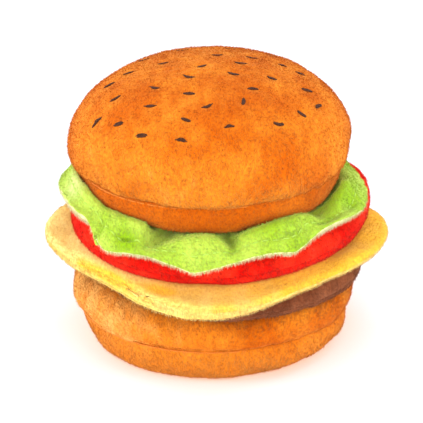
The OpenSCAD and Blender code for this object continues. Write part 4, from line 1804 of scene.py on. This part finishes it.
def groove_thread(name: str, radius: float, height: float,
                  tilt: float = 0.0) -> bpy.types.Object:
    """Row of stitches in a bun's groove: a ring whose thread swells in each stitch.

    The radius of the thread is 0.42 (0.62 + 0.38 |cos(36 a)|^0.5) at an angle a.

    Args:
        name: Name of the piece.
        radius: Radius of the ring.
        height: Height of the ring on the axis.
        tilt: Slope of the ring, which is also set to the left by 35 tilt.

    Returns:
        The thread.
    """
    angle = around(720)[None, :]
    stitch = np.abs(np.cos(36 * angle))
    swell = 0.42 * (0.62 + 0.38 * stitch ** 0.5)
    r = radius - 0.25 * (1 - stitch)
    path = polar(r, angle, height + tilt * r * np.cos(angle))
    path[..., 0] -= 35 * tilt
    return tube(name, path, polar(1.0, angle, 0.0), swell, 8, closed=True)


@dataclass
class TopBun:
    """Stuffed top bun: a domed cover over a lower one, with embroidered seeds on it."""

    radius: float = 62.5
    flat: float = 48.0
    seam: Point = (58.1, 85.3)
    belly: float = 94.7
    rise: float = 34.5
    shoulder: float = 0.8
    shift: float = 0.3
    stuffing: Stuffing = Stuffing(spare=0.05)
    seeds: tuple[tuple[int, int, int], ...] = (
        (5, 21, 0), (29, 21, -8), (-32, 14, 0), (-6, -2, 35), (21, 5, 0), (50, 18, -5),
        (-56, 13, 0), (-14, -18, -30), (16, -14, -20), (42, -13, -20), (62, 10, -8),
        (-69, 2, 5), (-37, -26, -35), (-14, -40, -12), (29, -32, 8), (66, -16, 20),
        (-64, -24, 10), (-40, -46, -15), (-2, -54, 28), (22, -48, 85), (74, -29, 60),
        (-77, -37, 15), (-62, -51, -20), (-16, -66, -32), (13, -72, 14), (46, -61, 14),
        (62, -45, -15), (-46, -69, -22), (-19, -80, -18), (-19, 45, 20), (14, 48, -15),
        (43, 43, 10), (-46, 40, -25), (-10, 70, 5), (29, 72, -30), (69, 38, 30),
        (-69, 34, -15), (-42, 69, 15), (61, 59, 0))
    seed: int = 81
    fill: float = 0.9
    wall: float = 3.2

    def lower(self, inset: float) -> np.ndarray:
        """Profile of the lower cover, from the eyelet to the seam."""
        if inset > 0:
            turn = arc((self.flat, STACK.crown + inset),
                       (self.seam[0] - inset, self.seam[1]), 30, True)
        else:
            way = np.sin(np.linspace(0.0, math.pi / 2, 61)) ** 0.8
            r = STACK.turn_from + STACK.turn_width * way
            turn = np.stack([r, crown_under(r)], 1)
        return np.concatenate([steps_out(STACK.eyelet, self.flat, 20, STACK.crown + inset),
                               turn[1:]])

    def dome(self, inset: float) -> np.ndarray:
        """Profile of the dome, from its crown to the seam."""
        return bun_side((0.0, self.belly + self.rise - inset),
                        (self.radius - inset, self.belly),
                        (self.seam[0] - inset, self.seam[1]), (60, 16))

    def tilted(self, points: np.ndarray, share: np.ndarray | float) -> np.ndarray:
        """Points tipped up to the right and set a little to the left: z + tilt x share.

        Args:
            points: Points of the bun.
            share: Share of the tilt for each.

        Returns:
            The points, moved.
        """
        moved = points.copy()
        moved[..., 2] += TILT * points[..., 0] * share
        moved[..., 0] -= self.shift * share
        return moved

    def seed_places(self) -> np.ndarray:
        """Places [x, y] of the seeds, which are listed in percent of the radius, with
        each seed's turn in degrees."""
        return np.array([(x, y) for x, y, _ in self.seeds], float) * self.radius / 100

    def dimple(self, points: np.ndarray) -> np.ndarray:
        """Depth pressed into the dome by the seeds: the sum of 0.75 exp(-(d / 2.4)^2)."""
        depth = np.zeros(points.shape[:-1])
        for x, y in self.seed_places():
            d = (points[..., 0] - x) ** 2 + (points[..., 1] - y) ** 2
            depth += 0.75 * np.exp(-d / 2.4 ** 2)
        return depth * (points[..., 2] > self.belly + 4.0)

    def covers(self) -> tuple[Cover, Cover]:
        """Lower cover and dome, stuffed and then gathered along their seam.

        Returns:
            The lower cover and the dome's.
        """
        flat = turned_cover(self.lower(0.0), Side.BOTTOM, (49.0, 54.0))
        plain = turned_cover(self.dome(0.0), Side.TOP, (-1.0, 0.0), True)
        r = np.hypot(plain.points[..., 0], plain.points[..., 1])
        shoulder = self.shoulder * np.exp(-(((r - 46.0) / 14.0) ** 2))
        low, dome = self.stuffing.moved(
            lumps(flat, 0.2, 18.0, self.seed + 4),
            lumps(plain, 0.7, 30.0, self.seed).raised(shoulder))
        gathers = puckers(around()[None, :], self.seed, (30, 56))
        dome = dome.gathered(0.55 * gathers, 6.0, (0.4, 1.4),
                             0.5 + self.dimple(plain.points))
        low = low.gathered(0.5 * gathers, 5.0, (0.4, 1.4), 0.2)
        low.points = self.tilted(self.within(low.points),
                                 smooth(46.0, 58.0, flat.points[:, :1, 0]))
        dome.points = self.tilted(dome.points, 1.0)
        return joined(low, dome)

    def within(self, points: np.ndarray) -> np.ndarray:
        """Points of the lower cover kept off the leaf below.

        They stay above the eyelet's level and within the turn's curve t^2.5 + u^2.5 = 1
        round (48, 85.3).

        Args:
            points: Points of the lower cover.

        Returns:
            The points, moved.
        """
        r = np.hypot(points[..., 0], points[..., 1])
        t = np.maximum(0.0, r - self.flat) / (self.seam[0] - self.flat)
        u = (self.seam[1] - points[..., 2]) / (self.seam[1] - STACK.crown)
        power = STACK.turn_power
        size = np.maximum(1.0, (t ** power + np.maximum(0.0, u) ** power) ** (1 / power))
        moved = points.copy()
        moved[..., 2] = self.seam[1] - (self.seam[1] - points[..., 2]) / size
        turn = np.where(r > self.flat, (self.flat + (r - self.flat) / size) / r, 1.0)
        moved[..., :2] *= turn[..., None]
        return moved

    def seed_threads(self, dome: Cover) -> bpy.types.Object:
        """Seeds: five threads side by side, each following the dome and dipping at its ends.

        A thread's middle line is the plain ellipse at [x, y], moved as the dome's cover is
        moved there, and raised by 0.5 sin(pi s)^0.5 - 0.15 along its own length s in 0..1.
        The middle threads' ends are kept as the seeds' bars.

        Args:
            dome: The dome's finished cover.

        Returns:
            The seeds.
        """
        rng = np.random.default_rng(self.seed + 9)
        strands, steps = 5, 11
        s = np.linspace(0, 1, steps)
        lines = []
        for (x, y), (_, _, turn) in zip(self.seed_places(), self.seeds):
            a, bend, size = math.radians(turn), rng.uniform(-0.9, 0.9), rng.uniform(0.85, 1.1)
            for k in range(strands):
                off = (k - 2) * 0.26 + rng.uniform(-0.08, 0.08)
                half = size * (2.7 - 0.25 * abs(k - 2) + rng.uniform(-0.6, 0.6))
                bow = bend + 0.15 * rng.uniform(-1, 1)
                run = (2 * s - 1) * half
                side = off * (1 - 0.45 * (2 * s - 1) ** 2) + bow * (1 - (2 * s - 1) ** 2)
                lines.append(np.stack([x + run * math.cos(a) - side * math.sin(a),
                                       y + run * math.sin(a) + side * math.cos(a)], 1))
        flat = np.array(lines)
        share = np.sqrt(np.clip(1 - (flat ** 2).sum(-1) / self.radius ** 2, 0.02, 1))
        base = np.concatenate([flat, (self.belly + self.rise * share)[..., None]], -1)
        normal = unit(np.concatenate([flat / self.radius ** 2,
                                      (share / self.rise)[..., None]], -1))
        profile = spread_evenly(self.dome(0.0), ROW_STEP)
        row = np.interp(np.hypot(base[..., 0], base[..., 1]), profile[:60, 0], np.arange(60))
        direction = np.arctan2(base[..., 1], base[..., 0])
        column = direction % (2 * math.pi) / (2 * math.pi) * COLUMNS
        i, j = row.astype(int), column.astype(int) % COLUMNS
        way = sampled(dome.points - revolved(profile), i, j, (row - i)[..., None],
                      (column - np.floor(column))[..., None])
        lift = 0.5 * np.sin(math.pi * s)[None, :, None] ** 0.5 - 0.15
        path = base + way + normal * lift
        self.bars = path[strands // 2::strands, [2, -3]]
        radius = tapered(2 * s - 1, 0.25)[None, :] + 0 * row
        return tube("crown_seeds", path, normal, radius, 6, closed=False)

    def clear_of_seeds(self, roots: np.ndarray) -> np.ndarray:
        """Share of strands kept: none near a seed's own bar, all past it.

        Args:
            roots: Places of the strands.

        Returns:
            One share for each.
        """
        kept = np.ones(len(roots))
        for start, end in self.bars:
            along = end - start
            share = np.clip((roots - start) @ along / (along @ along), 0.0, 1.0)
            away = np.linalg.norm(roots - start - share[:, None] * along, axis=1)
            kept = np.minimum(kept, smooth(0.6, 1.5, away))
        return kept

    def filling(self, builder: Builder) -> bpy.types.Object:
        """Fibre with rooms for the tie's knot and for the squeaker."""
        low = spread_evenly(self.lower(self.wall), 2 * ROW_STEP)
        low = low[low[:, 0] > 5.5]
        dome = spread_evenly(self.dome(self.wall), 2 * ROW_STEP)[::-1]
        rooms = np.array([[0.0, 109.4], [17.4, 109.4], [17.4, 84.2], [1.6, 84.2],
                          [1.6, 81.5], [4.0, 81.5], [4.0, 73.6]])
        profile = np.concatenate([low, dome, rooms])
        points = self.tilted(revolved(profile, FIBRE_COLUMNS),
                             smooth(22.0, 46.0, profile[:, :1]))
        noise = (0.35 * (Lattice(10.0, self.seed + 5)(points) - 1.0)
                 - 1.8 * np.exp(-(((points[..., 2] - 87.0) / 5.5) ** 2)))
        points = drawn_inward(points, profile, noise, 22.0, 40.0)
        index = numbered(points)
        pole = len(low) + len(dome) - 1
        index[pole], index[pole + 1] = index[pole, 0], index[pole + 1, 0]
        index = index[:, ::-1]
        outer, inner = index[:pole + 1], np.concatenate([index[pole + 1:], index[:1]])
        piece = grid_mesh("crown_fibre", points, [outer, inner], wraps_rows=False)
        builder.filling(piece, "crown", "crown_stuffing", self.fill)
        return piece

    def build(self, builder: Builder) -> None:
        """Makes both covers with their pile, the seeds, the thread and the filling."""
        low, dome = self.covers()
        low_nap = Nap(towards=(0.1, 0.3, 0.9), bias=0.12, swing=0.4, seed=83, patch=14.0)
        # Painted light and shade, mixed with patches of nap: the marks lighten the dome's
        # left, front and right flanks and darken its top.
        dome_nap = Nap(bias=0.48, swing=0.6, seed=87, patch=12.0, marks=(
            ((22, -45, 116), 15.0, -0.3), ((25, -57, 95), 6.0, -0.4),
            ((-30, -22, 122), 9.0, -0.3), ((42, -44, 86), 9.0, -0.4),
            ((-50, -36, 102), 16.0, 0.35), ((-13, -61, 97), 15.0, 0.35),
            ((14, -59, 103), 9.0, 0.25), ((55, -28, 97), 9.0, 0.35),
            ((6, -28, 126), 14.0, -0.2), ((-20, -58, 86), 12.0, 0.3),
            ((44, -38, 95), 8.0, 0.3), ((10, 30, 120), 30.0, -0.2)))
        builder.cloth("crown_lower_cover", low, low_nap, CRUST, "crown", "crown_base_panel",
                      self.fill)
        seeds = self.seed_threads(dome)
        soft = builder.cloth("crown_dome_cover", dome, dome_nap, CRUST, "crown",
                             "crown_dome_panel", self.fill, self.clear_of_seeds)
        builder.add(seeds, SEED_THREAD, "crown", "seed_thread", "sesame_seeds")
        thread = groove_thread("crown_thread", self.seam[0] - 0.6, self.seam[1] - 0.55, TILT)
        builder.add(thread, CRUST_THREAD, "crown", "sewing_thread", "crown_seam_thread")
        fibre = self.filling(builder)
        for piece in (*soft, seeds):
            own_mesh(piece)
        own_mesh(fibre)


# ---- squeaker and tie


@dataclass
class Squeaker:
    """Air bladder in the top bun: two plates, a folded wall and a voice plug."""

    base: float = 87.2
    height: float = 20.0
    radius: float = 16.7
    fold: float = 2.6
    folds: int = 4
    wall: float = 0.8

    def bellows(self) -> bpy.types.Object:
        """Folded wall: r = radius - fold (1 - cos(2 pi folds h)) / 2, and the same less
        the wall inside."""
        h = np.linspace(0.0, 1.0, 16 * self.folds + 1)
        r = self.radius - self.fold * (1 - np.cos(2 * math.pi * self.folds * h)) / 2
        z = self.base + 0.05 + (self.height - 0.1) * h
        outer, inner = (revolved(np.stack([radius, z], 1), 96)
                        for radius in (r, r - self.wall))
        grid = np.concatenate([outer, inner[::-1]])
        return grid_mesh("squeaker_folds", grid, [numbered(grid)[:, ::-1]], wraps_rows=True)

    def build(self, builder: Builder, frame: dict) -> None:
        """Makes the folded wall, and finishes the plates and the voice plug."""
        wall = self.bellows()
        builder.add(wall, VINYL, "crown", "bladder_vinyl", "squeaker_bellows")
        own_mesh(wall)
        for name, finish in (("squeaker_base", VINYL), ("squeaker_cap", VINYL),
                             ("reed_barrel", REED), ("squeaker_reed", REED),
                             ("centre_tie", TIE_THREAD)):
            builder.node(frame, name, finish)


# ---- studio


@dataclass
class Studio:
    """Pale floor, soft lamps and the camera."""

    look_at: float = 67.5
    distance: float = 1200.0
    elevation_degrees: float = 23.68
    frame_pixels: int = 423
    focal_pixels: float = 2688.0
    middle_at: Point = (210.6, 192.05)

    def camera(self) -> None:
        """Camera that looks along a line to a point on the axis, which its shift places."""
        up = math.radians(self.elevation_degrees)
        data = bpy.data.cameras.new("view")
        data.sensor_width = 36.0
        data.lens = self.focal_pixels / self.frame_pixels * data.sensor_width
        half = self.frame_pixels / 2
        data.shift_x = (half - self.middle_at[0]) / self.frame_pixels
        data.shift_y = (self.middle_at[1] - half) / self.frame_pixels
        data.clip_start, data.clip_end = 0.01, 50.0
        camera = new_object("view", data)
        camera.location = (0.0, -self.distance * MM * math.cos(up),
                           self.look_at * MM + self.distance * MM * math.sin(up))
        camera.rotation_euler = (math.pi / 2 - up, 0.0, 0.0)
        bpy.context.scene.camera = camera

    def floor(self) -> None:
        """White floor that keeps the toy's shadow, which is warm as its cloth is.

        To the eye it glows in a painted peach shadow colour, and the light adds what is
        missing to white, so the painted warmth shows only in the shade.
        """
        size = 4000.0
        points = np.array([[-size, -size, -0.15], [size, -size, -0.15], [size, size, -0.15],
                           [-size, size, -0.15]])
        floor = mesh_of("floor", points, np.array([[0, 1, 2, 3]]), np.zeros((0, 3), int))
        graph = Graph("white_floor")
        ray, glossy, through = (graph.node("ShaderNodeLightPath", out=f"Is {kind} Ray")
                                for kind in ("Camera", "Glossy", "Transmission"))
        plain = graph.node("ShaderNodeBsdfDiffuse", None, {"Color": linear((246, 242, 238))})
        # Painted shadow colour: the bluish faint diffuse and the peach glow show the camera a
        # warm shadow.
        faint = graph.node("ShaderNodeBsdfDiffuse", None, {"Color": linear((124, 212, 243))})
        painted_shadow_glow = graph.node("ShaderNodeEmission", None,
                          {"Color": linear((247, 165, 112)), "Strength": 1.0})
        white = graph.node("ShaderNodeAddShader", None, {0: faint, 1: painted_shadow_glow})
        both = graph.node("ShaderNodeMixShader", None,
                          {0: ray + glossy + through, 1: plain, 2: white})
        floor.data.materials.append(graph.end(both))

    def lamp(self, name: str, place: Vector3, size: float, watts: float,
             colour: tuple[float, float, float] = (1.0, 1.0, 1.0)) -> None:
        """Square lamp that faces the middle of the toy.

        Args:
            name: Name of the lamp.
            place: Where it hangs, in metres.
            size: Its side, in metres.
            watts: Its power.
            colour: Its colour.
        """
        data = bpy.data.lights.new(name, "AREA")
        data.size, data.energy, data.color = size, watts, colour
        lamp = new_object(name, data)
        lamp.location = place
        away = np.array(place) - np.array([0.0, 0.0, 0.06])
        flat = math.hypot(away[0], away[1])
        lamp.rotation_euler = (math.atan2(flat, away[2]), 0.0,
                               math.atan2(away[1], away[0]) + math.pi / 2)

    def world(self) -> None:
        """Even white surroundings, plainly white to the camera."""
        world = bpy.data.worlds.new("surroundings")
        bpy.context.scene.world = world
        graph = Graph("surroundings", world)
        ray = graph.node("ShaderNodeLightPath", out="Is Camera Ray")
        graph.end(graph.node("ShaderNodeBackground", None,
                             {"Color": linear((255, 255, 255)),
                              "Strength": 0.95 + 0.05 * ray}))

    def build(self) -> None:
        """Sets the whole studio up."""
        self.camera()
        self.floor()
        self.world()
        self.lamp("key", (-1.7, -0.4, 0.5), 0.8, 17.0)
        self.lamp("fill", (1.6, -0.6, 0.5), 0.8, 12.5)
        self.lamp("front", (-0.1, -1.5, 0.6), 0.8, 9.5)
        self.lamp("top", (0.1, -0.1, 1.6), 1.0, 6.0)
        bpy.context.scene.view_settings.view_transform = "Standard"


def main() -> None:
    """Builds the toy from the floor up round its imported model."""
    logging.basicConfig(level=logging.INFO, format="%(name)s: %(message)s")
    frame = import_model()
    Studio().build()
    builder = Builder()
    BottomBun().build(builder)
    patty().build(builder)
    Cheese().build(builder)
    tomato().build(builder)
    Lettuce().build(builder)
    TopBun().build(builder)
    Squeaker().build(builder, frame)
    log.info("%d pieces made", len(builder.pieces))


if __name__ == "__main__":
    main()
